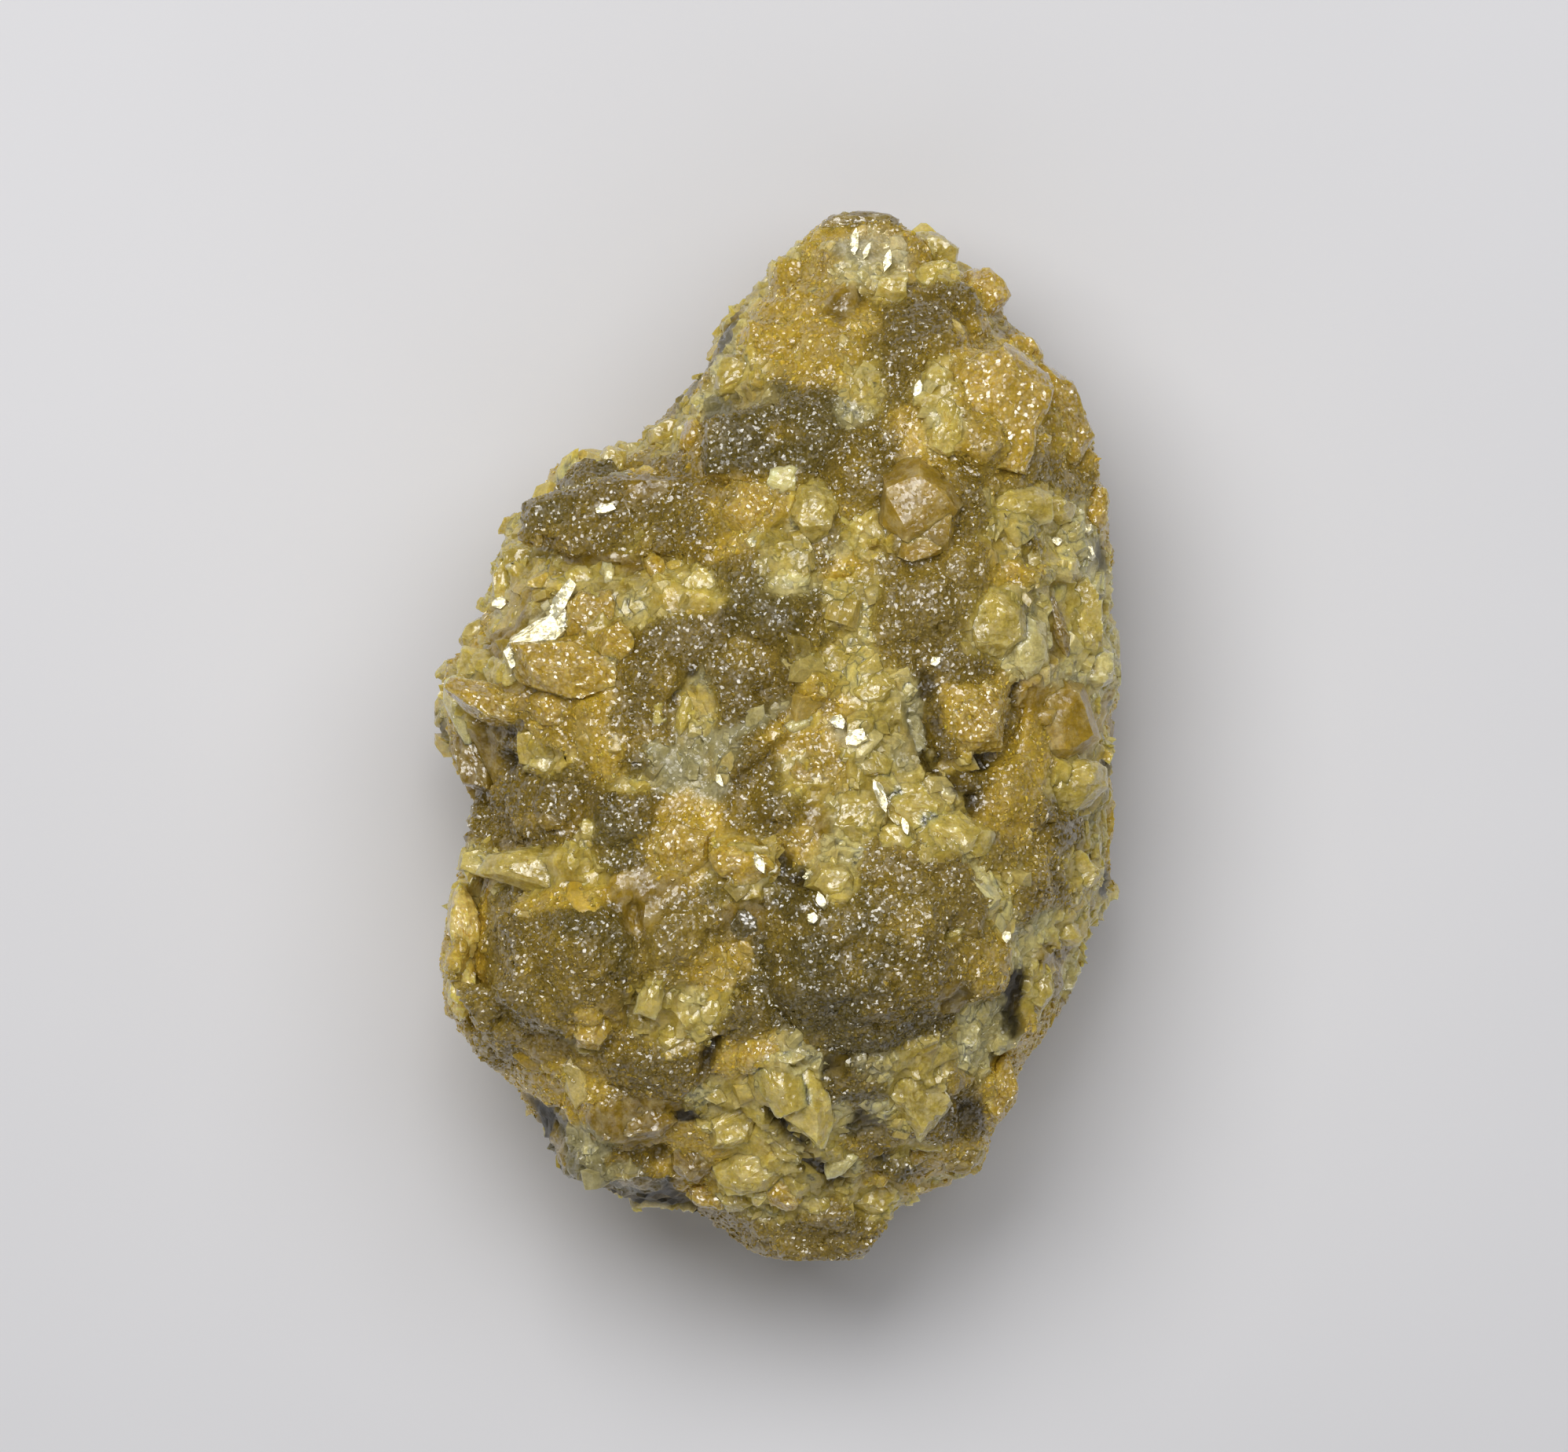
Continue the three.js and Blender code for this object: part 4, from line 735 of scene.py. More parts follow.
def body_tint(points, normals, kind, beside, depth, height, etch, patch_tone, colours):
    """The colour of each point of the body."""
    # Painted light and shade: points raised by the relief are painted lighter and sunken ones darker, besides
    # the random tone.
    tone = patch_tone * (1.0 + 0.14 * rough_noise(points, 0.8, 360) + 1.2 * np.clip(height, -0.08, 0.08))
    # Painted light: the flanks, which get less light, are painted a little paler, standing in for light
    # shining through the thin rim.
    tone *= 1.0 + 0.40 * np.clip(0.6 - normals[:, 2], 0.0, 0.6) * (points[:, 2] > 0.3)
    # Painted light: on the broken parts each small cell is painted a random amount lighter or darker,
    # standing in for light reflected inside the crystal.
    key = cell_field(points, 0.16, 500)[0]
    tone *= 1.0 + 0.30 * (hashed(key, 505) - 0.5) * (1.0 - etch)
    palette = np.array([getattr(colours, k)[:] for k in KINDS])
    golden = palette[KINDS.index("honey")]
    tint = blended(palette[kind], palette[beside], 0.5 * np.exp(-depth / 0.045))
    warm = 0.34 * np.clip(rough_noise(points, 0.36, 380, 3) * 2.0, 0.0, 1.0) * (etch > 0.5)
    tint = blended(tint, golden, warm)
    deep = 0.45 * np.clip(rough_noise(points, 0.30, 390, 3) * 2.0 - 0.1, 0.0, 1.0) * (etch < 0.5)
    tint = blended(tint, golden, deep)
    return tint * tone[:, None]


def make_body(shape, colours):
    """The stone's own surface, with its patches, broken faces and etched crust."""
    rng = np.random.default_rng(SEED)
    points, normals, sides, loops = fine_copy(shape.mesh_step)
    rows = patch_rows(surface_tree(points, sides, loops))
    shown = len(rows)
    rows += hidden_rows(points, normals, rows, rng)
    wander = np.stack([rough_noise(points, 0.34, 100 + 10 * axis, 4) for axis in range(3)], axis=1)
    patch, kind, beside, depth = nearest_patch(
        points + wander * shape.ragged, rows, np.arange(shown, len(rows))
    )
    height = body_height(points, normals, kind, depth, shape.relief)
    moved = inside_box(points + normals * height[:, None])
    body = new_mesh_object("etched_body", moved, loops, sides, soft_angle=42.0)
    table = np.array([FINISHES[k] for k in KINDS])
    etch, waxy, gloss, streak = (table[kind, column] for column in range(3, 7))
    tone_rng = np.random.default_rng(SEED + 1)
    patch_tone = 1.0 + 0.10 * (tone_rng.random(len(rows)) * 2.0 - 1.0)[patch]
    tint = body_tint(points, normals, kind, beside, depth, height, etch, patch_tone, colours)
    set_colours(body.data, "tint", tint)
    for name, values in {
        "tone": np.ones(len(points)), "etch": etch, "waxy": waxy, "gloss": gloss, "streak": streak,
        "mirror": 0.25 * (kind == KINDS.index("silver")), "kind": kind,
    }.items():
        set_floats(body.data, name, values)
    return body


def node_tree(name):
    """A new material with one shader: the material, its nodes and the shader."""
    material = bpy.data.materials.new(name)
    material.use_nodes = True
    tree = material.node_tree
    tree.nodes.clear()
    output = tree.nodes.new("ShaderNodeOutputMaterial")
    shader = tree.nodes.new("ShaderNodeBsdfPrincipled")
    tree.links.new(shader.outputs["BSDF"], output.inputs["Surface"])
    return material, tree, shader


class Nodes:
    """Short ways to add nodes to a material."""

    def __init__(self, tree):
        self.tree = tree

    def add(self, kind, **settings):
        node = self.tree.nodes.new(kind)
        for key, value in settings.items():
            setattr(node, key, value)
        return node

    def feed(self, socket, value):
        if isinstance(value, bpy.types.NodeSocket):
            self.tree.links.new(value, socket)
        else:
            socket.default_value = value

    def attribute(self, name, colour=False):
        node = self.add("ShaderNodeAttribute", attribute_name=name)
        return node.outputs["Color" if colour else "Fac"]

    def math(self, operation, first, second=0.0, clamp=False):
        node = self.add("ShaderNodeMath", operation=operation, use_clamp=clamp)
        self.feed(node.inputs[0], first)
        self.feed(node.inputs[1], second)
        return node.outputs[0]

    def vector(self, operation, first, second=(0.0, 0.0, 0.0)):
        node = self.add("ShaderNodeVectorMath", operation=operation)
        self.feed(node.inputs[0], first)
        if operation == "SCALE":
            self.feed(node.inputs["Scale"], second)
        elif operation != "NORMALIZE":
            self.feed(node.inputs[1], second)
        return node.outputs[0]

    def millimetres(self):
        place = self.add("ShaderNodeTexCoord").outputs["Object"]
        return self.vector("SCALE", place, 1.0 / MM)

    def noise(self, place, size, detail=4.0, rough=0.6):
        node = self.add("ShaderNodeTexNoise")
        self.feed(node.inputs["Vector"], place)
        node.inputs["Scale"].default_value = 1.0 / size
        node.inputs["Detail"].default_value = detail
        node.inputs["Roughness"].default_value = rough
        return node.outputs["Fac"]

    def cells(self, place, size):
        node = self.add("ShaderNodeTexVoronoi")
        self.feed(node.inputs["Vector"], place)
        node.inputs["Scale"].default_value = 1.0 / size
        return node

    def ramp(self, value, *stops):
        node = self.add("ShaderNodeValToRGB")
        self.feed(node.inputs["Fac"], value)
        elements = node.color_ramp.elements
        while len(elements) < len(stops):
            elements.new(0.5)
        for element, (place, shade) in zip(elements, stops):
            element.position = place
            element.color = (shade, shade, shade, 1.0) if isinstance(shade, float) else (*shade, 1.0)
        return node.outputs["Color"]

    def mix(self, share, first, second, blend="MIX"):
        node = self.add("ShaderNodeMix", data_type="RGBA", blend_type=blend)
        self.feed(node.inputs["Factor"], share)
        self.feed(node.inputs["A"], first)
        self.feed(node.inputs["B"], second)
        return node.outputs["Result"]


def crystal_material(name, sparkle, grain, coat_ior, light_depth, thickness=0.05, glow_and_crush_share=0.0):
    """Cloudy diamond in the stone's own tints: dull where it is etched, waxy where it is broken.

    Sparkle is how far the etched facets turn the coat, grain is their size (mm), light_depth is how deep
    light gets (mm), and glow_and_crush_share is how much paler an edge thinner than thickness (mm) is
    painted:
    partly painted light shining through the thin edge, partly whitish crushed edges.
    """
    material, tree, shader = node_tree(name)
    add = Nodes(tree)
    place = add.millimetres()
    etch, gloss, waxy, streak = (add.attribute(key) for key in ("etch", "gloss", "waxy", "streak"))
    broad = add.noise(place, 0.45, 5.0, 0.65)
    fine = add.noise(place, 0.07, 3.0, 0.7)

    # The tint, mottled at three sizes.
    colour = add.vector("SCALE", add.attribute("tint", colour=True), add.attribute("tone"))
    for mottle in (
        add.ramp(broad, (0.30, (0.81, 0.80, 0.67)), (0.70, (1.15, 1.17, 1.17))),
        add.ramp(fine, (0.30, (0.83, 0.82, 0.70)), (0.72, (1.14, 1.16, 1.16))),
        add.ramp(add.noise(place, 0.024, 2.0, 0.6), (0.32, 0.88), (0.68, 1.12)),
    ):
        colour = add.mix(1.0, colour, mottle, "MULTIPLY")

    # Painted shade in the pits between the etched facets: the colour darkens towards the edge of each facet.
    facets = add.cells(place, grain)
    pit_shade = add.ramp(facets.outputs["Distance"], (0.25, 1.05), (0.75, (0.74, 0.73, 0.62)))
    colour = add.mix(etch, colour, add.mix(1.0, colour, pit_shade, "MULTIPLY"))

    # Pale veils in the broken parts.
    veil = add.ramp(add.noise(place, 0.16, 5.0, 0.7), (0.46, 0.0), (0.62, 0.70))
    veil = add.math("MULTIPLY", veil, add.math("SUBTRACT", waxy, add.math("MULTIPLY", etch, 0.5)), True)
    milky = add.mix(0.45, add.vector("SCALE", colour, 1.25), (0.78, 0.71, 0.46, 1.0))
    colour = add.mix(veil, colour, milky)

    # Fine lines drawn out along the streaked faces.
    drawn = add.add("ShaderNodeMapping")
    add.feed(drawn.inputs["Vector"], place)
    drawn.inputs["Scale"].default_value = (0.14, 1.0, 0.6)
    drawn.inputs["Rotation"].default_value = (0.0, 0.0, 0.12)
    lines = add.noise(drawn.outputs["Vector"], 0.07, 4.0, 0.7)
    lined = add.mix(1.0, colour, add.ramp(lines, (0.34, 0.68), (0.66, 1.36)), "MULTIPLY")
    colour = add.mix(add.math("MULTIPLY", streak, 0.8), colour, lined)

    # Thin edges are painted paler: partly painted light shining through them, partly whitish crushed edges.
    thin = add.add("ShaderNodeAmbientOcclusion", inside=True, only_local=True, samples=4)
    thin.inputs["Distance"].default_value = thickness * MM
    thin = add.math("SUBTRACT", 1.0, thin.outputs["AO"])
    pale = add.mix(0.3, add.vector("SCALE", colour, 1.35), (0.84, 0.74, 0.44, 1.0))
    colour = add.mix(add.math("MULTIPLY", thin, glow_and_crush_share), colour, pale)
    add.feed(shader.inputs["Base Color"], colour)

    # Each etched facet turns the bright coat its own way, and the stone under it a little.
    turned = add.vector("SUBTRACT", facets.outputs["Color"], (0.5, 0.5, 0.5))
    amount = add.math("MULTIPLY", add.math("ADD", add.math("MULTIPLY", etch, 0.85), 0.15), sparkle)
    turned = add.vector("SCALE", turned, amount)
    normal = add.add("ShaderNodeNewGeometry").outputs["Normal"]
    add.feed(shader.inputs["Coat Normal"], add.vector("NORMALIZE", add.vector("ADD", normal, turned)))
    bump = add.add("ShaderNodeBump")
    bump.inputs["Strength"].default_value = 0.5
    bump.inputs["Distance"].default_value = 0.02 * MM
    add.feed(bump.inputs["Height"], add.math("ADD", fine, add.math("MULTIPLY", lines, streak)))
    leant = add.vector("ADD", bump.outputs["Normal"], add.vector("SCALE", turned, 0.45))
    add.feed(shader.inputs["Normal"], add.vector("NORMALIZE", leant))

    shine = add.math("ADD", add.math("MULTIPLY", etch, 0.70), add.math("MULTIPLY", gloss, 0.3))
    shine = add.math("ADD", shine, add.math("MULTIPLY", waxy, 0.2), True)
    add.feed(shader.inputs["Coat Weight"], shine)
    rough = add.math("SUBTRACT", 0.36, add.math("MULTIPLY", gloss, 0.24))
    add.feed(shader.inputs["Roughness"], rough)
    add.feed(shader.inputs["Metallic"], add.math("MULTIPLY", add.attribute("mirror"), 0.7))
    cloudy = add.math("ADD", add.math("MULTIPLY", waxy, 0.6), 0.4)
    add.feed(shader.inputs["Subsurface Weight"], cloudy)
    shader.inputs["IOR"].default_value = 1.4
    shader.inputs["Coat Roughness"].default_value = 0.075
    shader.inputs["Coat IOR"].default_value = coat_ior
    shader.inputs["Subsurface Radius"].default_value = (1.0, 0.97, 0.90)
    shader.inputs["Subsurface Scale"].default_value = light_depth * MM
    return material


def cut_form(planes):
    """A small closed crystal cut by planes, each (way out, reach): its points and triangles."""
    form = bmesh.new()
    bmesh.ops.create_cube(form, size=3.0)
    for way, reach in planes:
        way = Vector(way).normalized()
        everything = form.verts[:] + form.edges[:] + form.faces[:]
        cut = bmesh.ops.bisect_plane(
            form, geom=everything, plane_co=way * reach, plane_no=way, clear_outer=True
        )
        rim = [part for part in cut["geom_cut"] if isinstance(part, bmesh.types.BMEdge)]
        if rim:
            bmesh.ops.contextual_create(form, geom=rim)
    bmesh.ops.remove_doubles(form, verts=form.verts[:], dist=0.02)
    bmesh.ops.recalc_face_normals(form, faces=form.faces[:])
    bmesh.ops.triangulate(form, faces=form.faces[:])
    form.verts.index_update()
    points = np.array([corner.co for corner in form.verts])
    faces = np.array([[corner.index for corner in face.verts] for face in form.faces])
    form.free()
    # A cut through an edge can leave the same triangle twice.
    kept = np.unique(np.sort(faces, axis=1), axis=0, return_index=True)[1]
    return points, faces[np.sort(kept)]


def rounded(points, share, reach=0.8):
    """The form's points drawn that share of the way onto a ball, so its edges are soft."""
    far = np.linalg.norm(points, axis=1)[:, None]
    return points * (1.0 - share + share * reach / np.maximum(far, 0.1))


def side_planes(rng, wander, rises, reaches):
    """Four planes round a small form, each rising and reaching a random amount."""
    first = rng.uniform(0.0, math.tau)
    planes = []
    for side in range(4):
        turn = first + (side + rng.uniform(-wander, wander)) * math.tau / 4
        planes.append(((math.cos(turn), math.sin(turn), rng.uniform(*rises)), rng.uniform(*reaches)))
    return planes


def chip_forms(rng, splits, count=32):
    """Broken chips: a slanting top, steep sides, a few broken corners and a flat foot."""
    forms = []
    for _ in range(count):
        planes = [((*rng.normal(0.0, 0.25, 2), 1.0), rng.uniform(0.5, 0.85)), ((0, 0, -1.0), 0.7)]
        planes += side_planes(rng, 0.25, (-0.05, 0.35), (0.60, 0.95))
        for _ in range(3):
            planes.append(((*rng.normal(0.0, 1.0, 2), rng.uniform(0.2, 1.2)), rng.uniform(0.72, 0.92)))
        points, faces = split_faces(*cut_form(planes), splits)
        points = rounded(points, 0.22) + rng.normal(0.0, 0.035, points.shape)
        forms.append((points, faces))
    return forms


def grain_forms(rng, count=16):
    """Low etched crystals: a small table with a few slanting faces round it."""
    forms = []
    for _ in range(count):
        planes = [((*rng.normal(0.0, 0.12, 2), 1.0), rng.uniform(0.32, 0.5)), ((0, 0, -1.0), 0.35)]
        planes += side_planes(rng, 0.2, (0.3, 0.9), (0.5, 0.72))
        forms.append(cut_form(planes))
    return forms


def turned_to(normals, rng, tilt):
    """A set of axes for each normal: leant from it by about tilt, and turned about it by any angle."""
    leaning = normals + rng.normal(0.0, tilt, normals.shape)
    up = leaning / np.linalg.norm(leaning, axis=1)[:, None]
    spare = rng.normal(0.0, 1.0, normals.shape)
    side = np.cross(up, spare)
    side /= np.linalg.norm(side, axis=1)[:, None]
    return np.stack([side, np.cross(up, side), up], axis=2)


def scatter(name, forms, middles, axes, sizes, tints, floats, rng, facet_light_spread=0.2, soft_angle=0.0):
    """One piece made of many small closed forms, each face painted a little lighter or darker at random:
    painted light, standing in for light reflected inside the crystal.
    """
    all_points, all_faces, owners, reach = [], [], [], 0
    for index, form in enumerate(rng.integers(0, len(forms), len(middles))):
        points, faces = forms[form]
        all_points.append((points * sizes[index]) @ axes[index].T + middles[index])
        all_faces.append(faces + reach)
        owners.append(np.full(len(points), index))
        reach += len(points)
    faces = np.concatenate(all_faces)
    owners = np.concatenate(owners)
    piece = triangle_object(name, inside_box(np.concatenate(all_points)), faces, soft_angle)
    set_colours(piece.data, "tint", tints[owners])
    for key, values in floats.items():
        set_floats(piece.data, key, values[owners])
    # Painted light: each face gets its own random brightness, standing in for light reflected inside the
    # crystal.
    set_floats(piece.data, "tone", np.exp(rng.normal(0.0, facet_light_spread, len(faces))), "FACE")
    return piece


def surface_places(body, kinds, count, rng, low_share):
    """Random places on the body's patches of those finishes: their points' numbers, and middles (mm)."""
    mesh = body.data
    middles = read_rows(mesh.polygons, "center", 3) / MM
    normals = read_rows(mesh.polygons, "normal", 3)
    starts = read_rows(mesh.polygons, "loop_start", 1, np.int32)
    corner = read_rows(mesh.loops, "vertex_index", 1, np.int32)[starts]
    kind = read_floats(mesh, "kind").astype(int)[corner]
    weight = np.array([kinds.get(k, 0.0) for k in KINDS])[kind]
    # Fewer on the underside, and none close to the resting face.
    weight *= np.where(normals[:, 2] < -0.2, low_share, 1.0)
    weight *= middles[:, 2] > 0.15
    picked = rng.choice(len(middles), count, p=weight / weight.sum())
    return corner[picked], middles[picked]


def beside_crystals(middles):
    """Which of the places (mm) lie outside the footprints of the single crystals."""
    free = np.ones(len(middles), bool)
    for _, x, y, across, along, _, turn, *_ in CRYSTALS:
        dx, dy = middles[:, 0] - x / 100 - PATCH_SHIFT[0], middles[:, 1] - y / 100 - PATCH_SHIFT[1]
        cosine, sine = math.cos(math.radians(turn)), math.sin(math.radians(turn))
        sideways = (dx * cosine + dy * sine) / (across / 100)
        lengthways = (dy * cosine - dx * sine) / (along / 100)
        free &= (sideways**2 + lengthways**2 > 0.85) | (middles[:, 2] < 1.0)
    return free


def make_chips(body, name, kinds, count, middle_size, splits, colours, rng):
    """Broken chips in the pale seams of those finishes, each given with its share."""
    corner, middles = surface_places(body, kinds, count, rng, 0.35)
    free = beside_crystals(middles)
    corner, middles = corner[free], middles[free]
    around = read_rows(body.data.vertices, "normal", 3)[corner]
    tints = read_colours(body.data, "tint")[corner]
    count = len(corner)
    # Chips on the flanks and the underside are smaller.
    size = middle_size * np.clip(rng.lognormal(0.0, 0.36, count), 0.5, 1.9)
    size *= np.clip(0.58 + 0.8 * around[:, 2], 0.58, 1.0)
    longer, flatter = rng.uniform(0.8, 1.7, count), rng.uniform(0.40, 0.70, count)
    stretch = np.stack([np.ones(count), longer, flatter], axis=1)
    axes = turned_to(around, rng, 0.13)
    middles = middles - around * (size * flatter * rng.uniform(0.42, 0.80, count))[:, None]
    tints = tints * rng.uniform(0.92, 1.08, count)[:, None]
    pale = rng.random(count) ** 2.5 * 0.6
    tints = blended(tints, np.array(colours.cream[:]), pale)
    floats = {
        "etch": rng.uniform(0.1, 0.5, count),
        "waxy": rng.uniform(0.35, 0.9, count),
        "gloss": rng.uniform(0.1, 0.7, count),
    }
    sizes = size[:, None] * stretch
    return scatter(
        name, chip_forms(rng, splits), middles, axes, sizes, tints, floats, rng,
        facet_light_spread=0.05, soft_angle=38.0,
    )


def make_grains(body, name, kinds, count, rng):
    """The small crystals of the etched crust, on the patches of those finishes."""
    corner, middles = surface_places(body, kinds, count, rng, 0.3)
    around = read_rows(body.data.vertices, "normal", 3)[corner]
    tints = read_colours(body.data, "tint")[corner]
    size = rng.uniform(0.014, 0.029, count)
    stretch = rng.uniform(0.75, 1.3, (count, 3))
    axes = turned_to(around, rng, 0.26)
    middles = middles - around * (size * rng.uniform(-0.05, 0.25, count))[:, None]
    tints = tints * rng.uniform(0.8, 1.25, count)[:, None]
    floats = {
        "etch": read_floats(body.data, "etch")[corner] * 0.5,
        "waxy": read_floats(body.data, "waxy")[corner],
        "gloss": rng.uniform(0.5, 1.0, count),
    }
    return scatter(name, grain_forms(rng), middles, axes, size[:, None] * stretch, tints, floats, rng)


def crystal_form(kind, rng):
    """One single crystal of unit half size: its points and triangles."""
    planes = []
    if kind == "octahedron":
        for x in (-1.0, 1.0):
            for y in (-1.0, 1.0):
                slope = (x, y + rng.normal(0, 0.15), 1.0 + rng.normal(0, 0.2))
                planes.append((slope, rng.uniform(0.62, 0.74)))
                planes.append(((x, y, -1.0), 0.75))
        planes.append(((*rng.normal(0, 0.2, 2), 1.0), rng.uniform(0.55, 0.85)))
    slant = {"plate": 0.02, "block": 0.14, "blade": 0.20}.get(kind, 0.2)
    planes.append(((*rng.normal(0, slant, 2), 1.0), 0.95))
    rises = {"blade": (0.3, 0.9), "plate": (-0.1, 0.05)}.get(kind, (0.0, 0.35))
    for side in range(6):
        angle = (side + rng.uniform(-0.3, 0.3)) * math.tau / 6
        rise = rng.uniform(*rises)
        planes.append(((math.cos(angle), math.sin(angle), rise), rng.uniform(0.84, 0.98)))
    broken_corners = {"plate": 0, "block": 5, "blade": 4}.get(kind, 2)
    for _ in range(broken_corners):
        planes.append(((*rng.normal(0.0, 1.0, 2), rng.uniform(0.3, 1.4)), rng.uniform(0.80, 0.95)))
    planes.append(((0.0, 0.0, -1.0), 1.0))
    return cut_form(planes)


def split_faces(points, faces, times):
    """Triangles split into four, so many times."""
    for _ in range(times):
        ends = np.sort(np.concatenate([faces[:, [0, 1]], faces[:, [1, 2]], faces[:, [2, 0]]]), axis=1)
        edges, which = np.unique(ends, axis=0, return_inverse=True)
        middles = points[edges].mean(axis=1)
        ab, bc, ca = (which.ravel() + len(points)).reshape(3, -1)
        a, b, c = faces.T
        points = np.concatenate([points, middles])
        faces = np.concatenate(
            [np.stack(f, axis=1) for f in ((a, ab, ca), (ab, b, bc), (ca, bc, c), (ab, bc, ca))]
        )
    return points, faces


def place_crystal(row, tree, rng):
    """One single crystal, set in the stone and broken a little: its points (mm) and triangles."""
    kind, x, y, across, along, up, turn, lean_x, lean_y, sunk, form = row
    across, along, up, sunk = (value / 100 for value in (across, along, up, sunk))
    x, y = x / 100 + PATCH_SHIFT[0], y / 100 + PATCH_SHIFT[1]
    if kind in ("lemon", "cream"):
        across, along, up = across * 1.10, along * 1.10, up * 0.82
    hit = stone_below(tree, x, y)
    if hit is None:
        raise RuntimeError(f"no stone under the crystal at {x:.2f}, {y:.2f}")
    widest = max(across, along)
    points, triangles = crystal_form(form, rng)
    points, triangles = split_faces(points, triangles, 3 if widest > 0.24 else 2 if widest > 0.12 else 1)
    if form != "plate":
        points = rounded(points, CRYSTAL_ROUND.get(kind, 0.08))
    turned = (
        Matrix.Rotation(math.radians(lean_x), 3, "Y")
        @ Matrix.Rotation(math.radians(-lean_y), 3, "X")
        @ Matrix.Rotation(math.radians(turn), 3, "Z")
    )
    points = (points * (across, along, up)) @ np.array(turned).T
    if form != "plate":
        # Close to the rim a crystal is lower and deeper in the stone, so that it doesn't stick out.
        by_rim = math.hypot(x / HALF_WIDTH, y / HALF_LENGTH) > 0.82
        sunk, up = (sunk + 0.05, up * 0.8) if by_rim else (sunk + 0.02, up)
    points += (x, y, hit.z - sunk)
    out = points - (x, y, hit.z - sunk - 0.3 * up)
    out /= np.linalg.norm(out, axis=1)[:, None]
    step = broken_faces(points, 0.16, 900) * 0.16 + broken_faces(points, 0.06, 930) * 0.2
    ragged = {"honey": 0.24, "resin": 0.04}.get(kind, 0.15)
    step += rough_noise(points, 0.30, 960, 3) * 0.8 * ragged * min(widest, 0.4)
    rough = 0.7 if form == "plate" else 0.4 if kind == "resin" else 1.0
    return points + out * (step * rough)[:, None], triangles


def make_crystals(body, colours, rng):
    """The single crystals, all in one piece."""
    points, sides, loops = mesh_arrays(body.data)
    tree = surface_tree(points / MM, sides, loops)
    all_points, all_faces, tints, facet_lights, reach = [], [], [], [], 0
    floats = {"mirror": [], "streak": [], "etch": [], "gloss": [], "waxy": []}
    for row in CRYSTALS:
        kind = row[0]
        points, triangles = place_crystal(row, tree, rng)
        all_points.append(points)
        all_faces.append(triangles + reach)
        reach += len(points)
        tints.append(np.tile(np.array(getattr(colours, kind)[:]) * rng.uniform(0.92, 1.12), (len(points), 1)))
        # Painted light: each small group of faces is painted a random amount lighter or darker, standing in
        # for light reflected inside the crystal.
        key = cell_field(points[triangles].mean(axis=1), 0.12, 950)[0]
        facet_lights.append(0.92 + 0.16 * hashed(key, 955))
        for name, value in {
            "mirror": 0.42 if kind == "silver" else 0.0,
            "streak": CRYSTAL_STREAK.get(kind, 0.0),
            "etch": CRYSTAL_ETCH.get(kind, 0.03),
            "gloss": 0.2 if kind == "resin" else 0.75,
            "waxy": 0.9,
        }.items():
            floats[name].append(np.full(len(points), value))
    piece = triangle_object(
        "single_crystals", np.concatenate(all_points), np.concatenate(all_faces), soft_angle=30.0
    )
    set_colours(piece.data, "tint", np.concatenate(tints))
    for name, values in floats.items():
        set_floats(piece.data, name, np.concatenate(values))
    set_floats(piece.data, "tone", np.concatenate(facet_lights), "FACE")
    return piece


def dress(piece, material):
    """Give a finished piece its material, and let it ride on the stone."""
    piece.data.materials.append(material)
    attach(piece, BODY)


def body_to_set_in():
    """The etched body, which has to be there before anything is set in it."""
    body = bpy.data.objects.get("etched_body")
    if body is None:
        raise RuntimeError("make the etched body first")
    return body


class ROUGH_DIAMOND_OT_body(bpy.types.Operator):
    """Make the stone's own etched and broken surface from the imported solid"""

    bl_idname = "rough_diamond.body"
    bl_label = "Etched body"

    def execute(self, context):
        scene = context.scene
        body = make_body(scene.stone_shape, scene.stone_colours)
        material = crystal_material(
            "etched and broken diamond", sparkle=1.15, grain=0.027, coat_ior=1.9, light_depth=0.14,
        )
        dress(body, material)
        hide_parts(STONE)
        return {"FINISHED"}


class ROUGH_DIAMOND_OT_chips(bpy.types.Operator):
    """Set the broken chips in the pale seams of the body"""

    bl_idname = "rough_diamond.chips"
    bl_label = "Broken chips"

    def execute(self, context):
        scene = context.scene
        body = body_to_set_in()
        rng = np.random.default_rng(SEED + 3)
        material = crystal_material(
            "broken diamond", sparkle=1.1, grain=0.027, coat_ior=1.9, light_depth=0.06,
            thickness=0.04, glow_and_crush_share=0.3,
        )
        count = scene.stone_shape.chip_count
        for name, kinds, share, size, splits in (
            ("lemon_chips", {"lemon": 1.0, "honey": 0.12}, 0.34, 0.090, 1),
            ("pale_chips", {"cream": 1.0, "chalk": 0.7, "silver": 0.2}, 0.16, 0.070, 1),
            ("broken_crumbs", {"lemon": 0.7, "cream": 1.0, "chalk": 1.0}, 0.50, 0.034, 0),
        ):
            number = int(count * share)
            chips = make_chips(body, name, kinds, number, size, splits, scene.stone_colours, rng)
            dress(chips, material)
        return {"FINISHED"}


class ROUGH_DIAMOND_OT_crystals(bpy.types.Operator):
    """Set the single crystals in the body"""

    bl_idname = "rough_diamond.crystals"
    bl_label = "Single crystals"

    def execute(self, context):
        body = body_to_set_in()
        crystals = make_crystals(body, context.scene.stone_colours, np.random.default_rng(SEED + 7))
        material = crystal_material(
            "smooth diamond", sparkle=1.3, grain=0.030, coat_ior=2.0, light_depth=0.14,
            thickness=0.08, glow_and_crush_share=0.4,
        )
        dress(crystals, material)
        return {"FINISHED"}


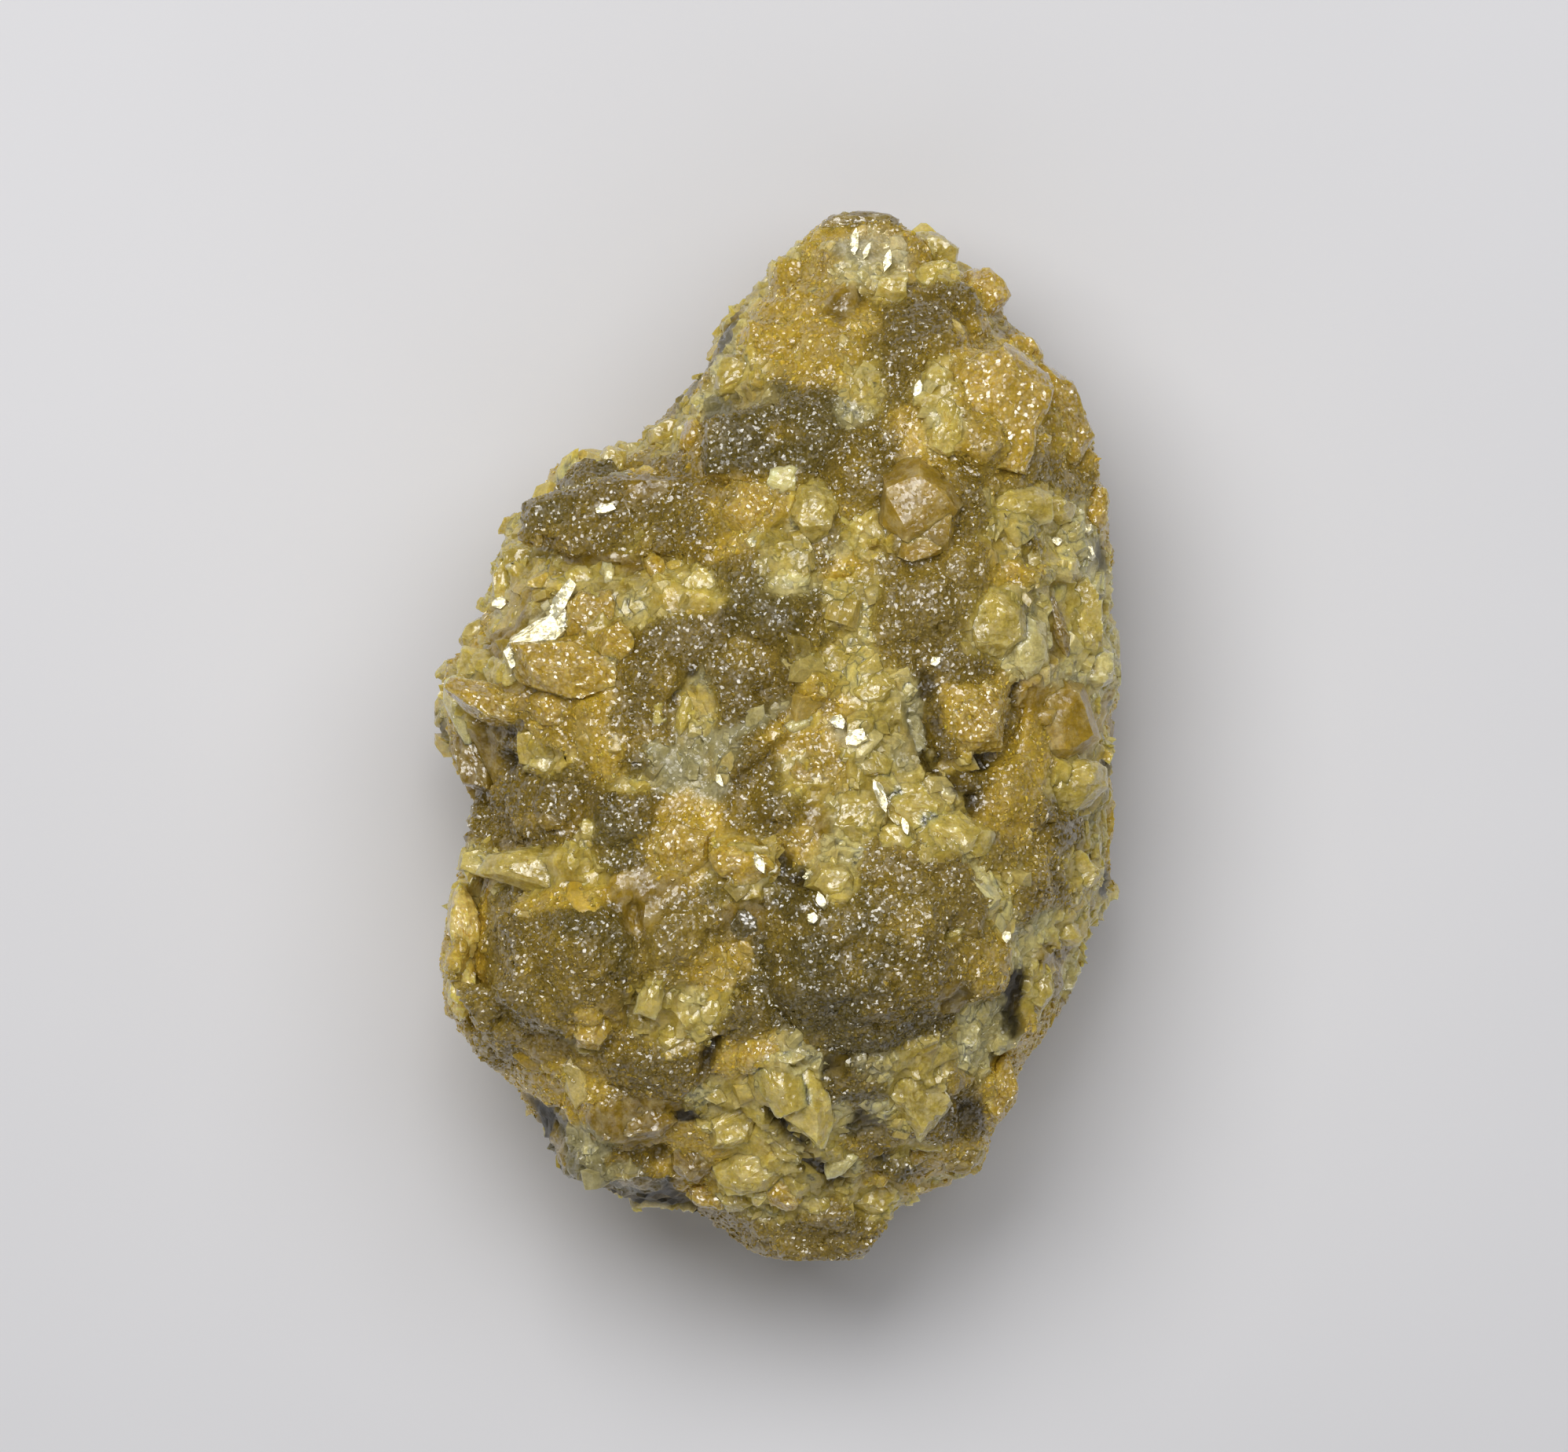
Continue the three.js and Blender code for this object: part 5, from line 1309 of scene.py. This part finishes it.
class ROUGH_DIAMOND_OT_grains(bpy.types.Operator):
    """Set the small crystals on the etched crust of the body"""

    bl_idname = "rough_diamond.grains"
    bl_label = "Etched grains"

    def execute(self, context):
        scene = context.scene
        body = body_to_set_in()
        rng = np.random.default_rng(SEED + 5)
        material = crystal_material(
            "etched diamond grains", sparkle=0.5, grain=0.03, coat_ior=2.0, light_depth=0.02,
        )
        count = scene.stone_shape.grain_count
        for name, kinds, share in (
            ("brown_grains", {"olive": 1.0, "umber": 1.0, "taupe": 0.9, "streaked": 0.4}, 0.6),
            ("honey_grains", {"honey": 1.0}, 0.4),
        ):
            dress(make_grains(body, name, kinds, int(count * share), rng), material)
        return {"FINISHED"}


def disc_light(name, radiance, tint, zenith, azimuth, half_angle, distance):
    """A round soft light that looks at the stone; angles in degrees, azimuth from +X towards +Y."""
    data = bpy.data.lights.new(name, "AREA")
    data.shape = "DISK"
    radius = distance * math.tan(math.radians(half_angle))
    data.size = 2.0 * radius
    data.energy = radiance * math.pi * math.pi * radius**2
    data.color = tint
    lamp = bpy.data.objects.new(name, data)
    bpy.context.scene.collection.objects.link(lamp)
    lean, bearing = math.radians(zenith), math.radians(azimuth)
    flat = math.sin(lean)
    way = Vector((flat * math.cos(bearing), flat * math.sin(bearing), math.cos(lean)))
    lamp.location = way * distance + Vector((0.0, 0.0, 2.5 * MM))
    lamp.rotation_euler = way.to_track_quat("Z", "Y").to_euler()
    lamp.visible_camera = False


class ROUGH_DIAMOND_OT_stage(bpy.types.Operator):
    """Make the floor, the soft lights and the camera"""

    bl_idname = "rough_diamond.stage"
    bl_label = "Stage"

    def execute(self, context):
        scene = context.scene
        look = scene.stage_look
        mesh = bpy.data.meshes.new("floor")
        corners = [(x * FLOOR_HALF, y * FLOOR_HALF, 0.0) for x, y in ((-1, -1), (1, -1), (1, 1), (-1, 1))]
        mesh.from_pydata(corners, [], [(0, 1, 2, 3)])
        floor = bpy.data.objects.new("floor", mesh)
        scene.collection.objects.link(floor)
        material, tree, shader = node_tree("pale floor")
        add = Nodes(tree)
        cloud = add.ramp(add.noise(add.millimetres(), 9.0, 3.0), (0.3, 0.985), (0.7, 1.015))
        add.feed(shader.inputs["Base Color"], add.mix(1.0, (*look.floor[:], 1.0), cloud, "MULTIPLY"))
        shader.inputs["Roughness"].default_value = 0.6
        shader.inputs["Specular IOR Level"].default_value = 0.2
        mesh.materials.append(material)

        white = (1.0, 0.985, 0.96)
        cool = (0.97, 0.98, 1.0)
        disc_light("key_light", look.key, white, zenith=24.0, azimuth=122.0, half_angle=17.0, distance=0.062)
        disc_light(
            "fill_light", look.fill * 0.45, cool, zenith=22.0, azimuth=52.0, half_angle=18.0, distance=0.07
        )
        disc_light(
            "low_light", look.fill * 0.088, white, zenith=42.0, azimuth=266.0, half_angle=32.0, distance=0.25
        )
        world = bpy.data.worlds.new("dim surroundings")
        world.use_nodes = True
        sky = world.node_tree.nodes["Background"]
        sky.inputs["Color"].default_value = (0.93, 0.96, 1.0, 1.0)
        sky.inputs["Strength"].default_value = look.sky
        scene.world = world
        scene.view_settings.view_transform = "Standard"

        view = bpy.data.cameras.new("camera")
        view.sensor_width = SENSOR_WIDTH
        view.lens = SENSOR_WIDTH / (2.0 * VIEW_HALF / CAMERA_RISE)
        view.clip_start = 0.005
        view.clip_end = 10.0
        camera = bpy.data.objects.new("camera", view)
        scene.collection.objects.link(camera)
        camera.location = (AIM[0], AIM[1], AIM[2] + CAMERA_RISE)
        scene.camera = camera
        return {"FINISHED"}


class ROUGH_DIAMOND_PT_panel(bpy.types.Panel):
    """Lists what the stone is made of"""

    bl_idname = "ROUGH_DIAMOND_PT_panel"
    bl_label = "Rough Diamond"
    bl_space_type = "VIEW_3D"
    bl_region_type = "UI"
    bl_category = "Rough Diamond"

    def draw(self, context):
        layout = self.layout
        scene = context.scene
        for group in (scene.stone_shape, scene.stone_colours, scene.stage_look):
            box = layout.box()
            for key in group.__annotations__:
                box.prop(group, key)
        for operator in OPERATORS:
            layout.operator(operator.bl_idname)


OPERATORS = (
    ROUGH_DIAMOND_OT_body,
    ROUGH_DIAMOND_OT_chips,
    ROUGH_DIAMOND_OT_crystals,
    ROUGH_DIAMOND_OT_grains,
    ROUGH_DIAMOND_OT_stage,
)
GROUPS = {"stone_colours": StoneColours, "stone_shape": StoneShape, "stage_look": StageLook}


def register():
    for kind in (*GROUPS.values(), *OPERATORS, ROUGH_DIAMOND_PT_panel):
        bpy.utils.register_class(kind)
    for name, kind in GROUPS.items():
        setattr(bpy.types.Scene, name, bpy.props.PointerProperty(type=kind))


def unregister():
    for name in GROUPS:
        delattr(bpy.types.Scene, name)
    for kind in reversed((*GROUPS.values(), *OPERATORS, ROUGH_DIAMOND_PT_panel)):
        bpy.utils.unregister_class(kind)


def main():
    register()
    bpy.ops.rough_diamond.body()
    bpy.ops.rough_diamond.chips()
    bpy.ops.rough_diamond.crystals()
    bpy.ops.rough_diamond.grains()
    bpy.ops.rough_diamond.stage()


if __name__ == "__main__":
    main()
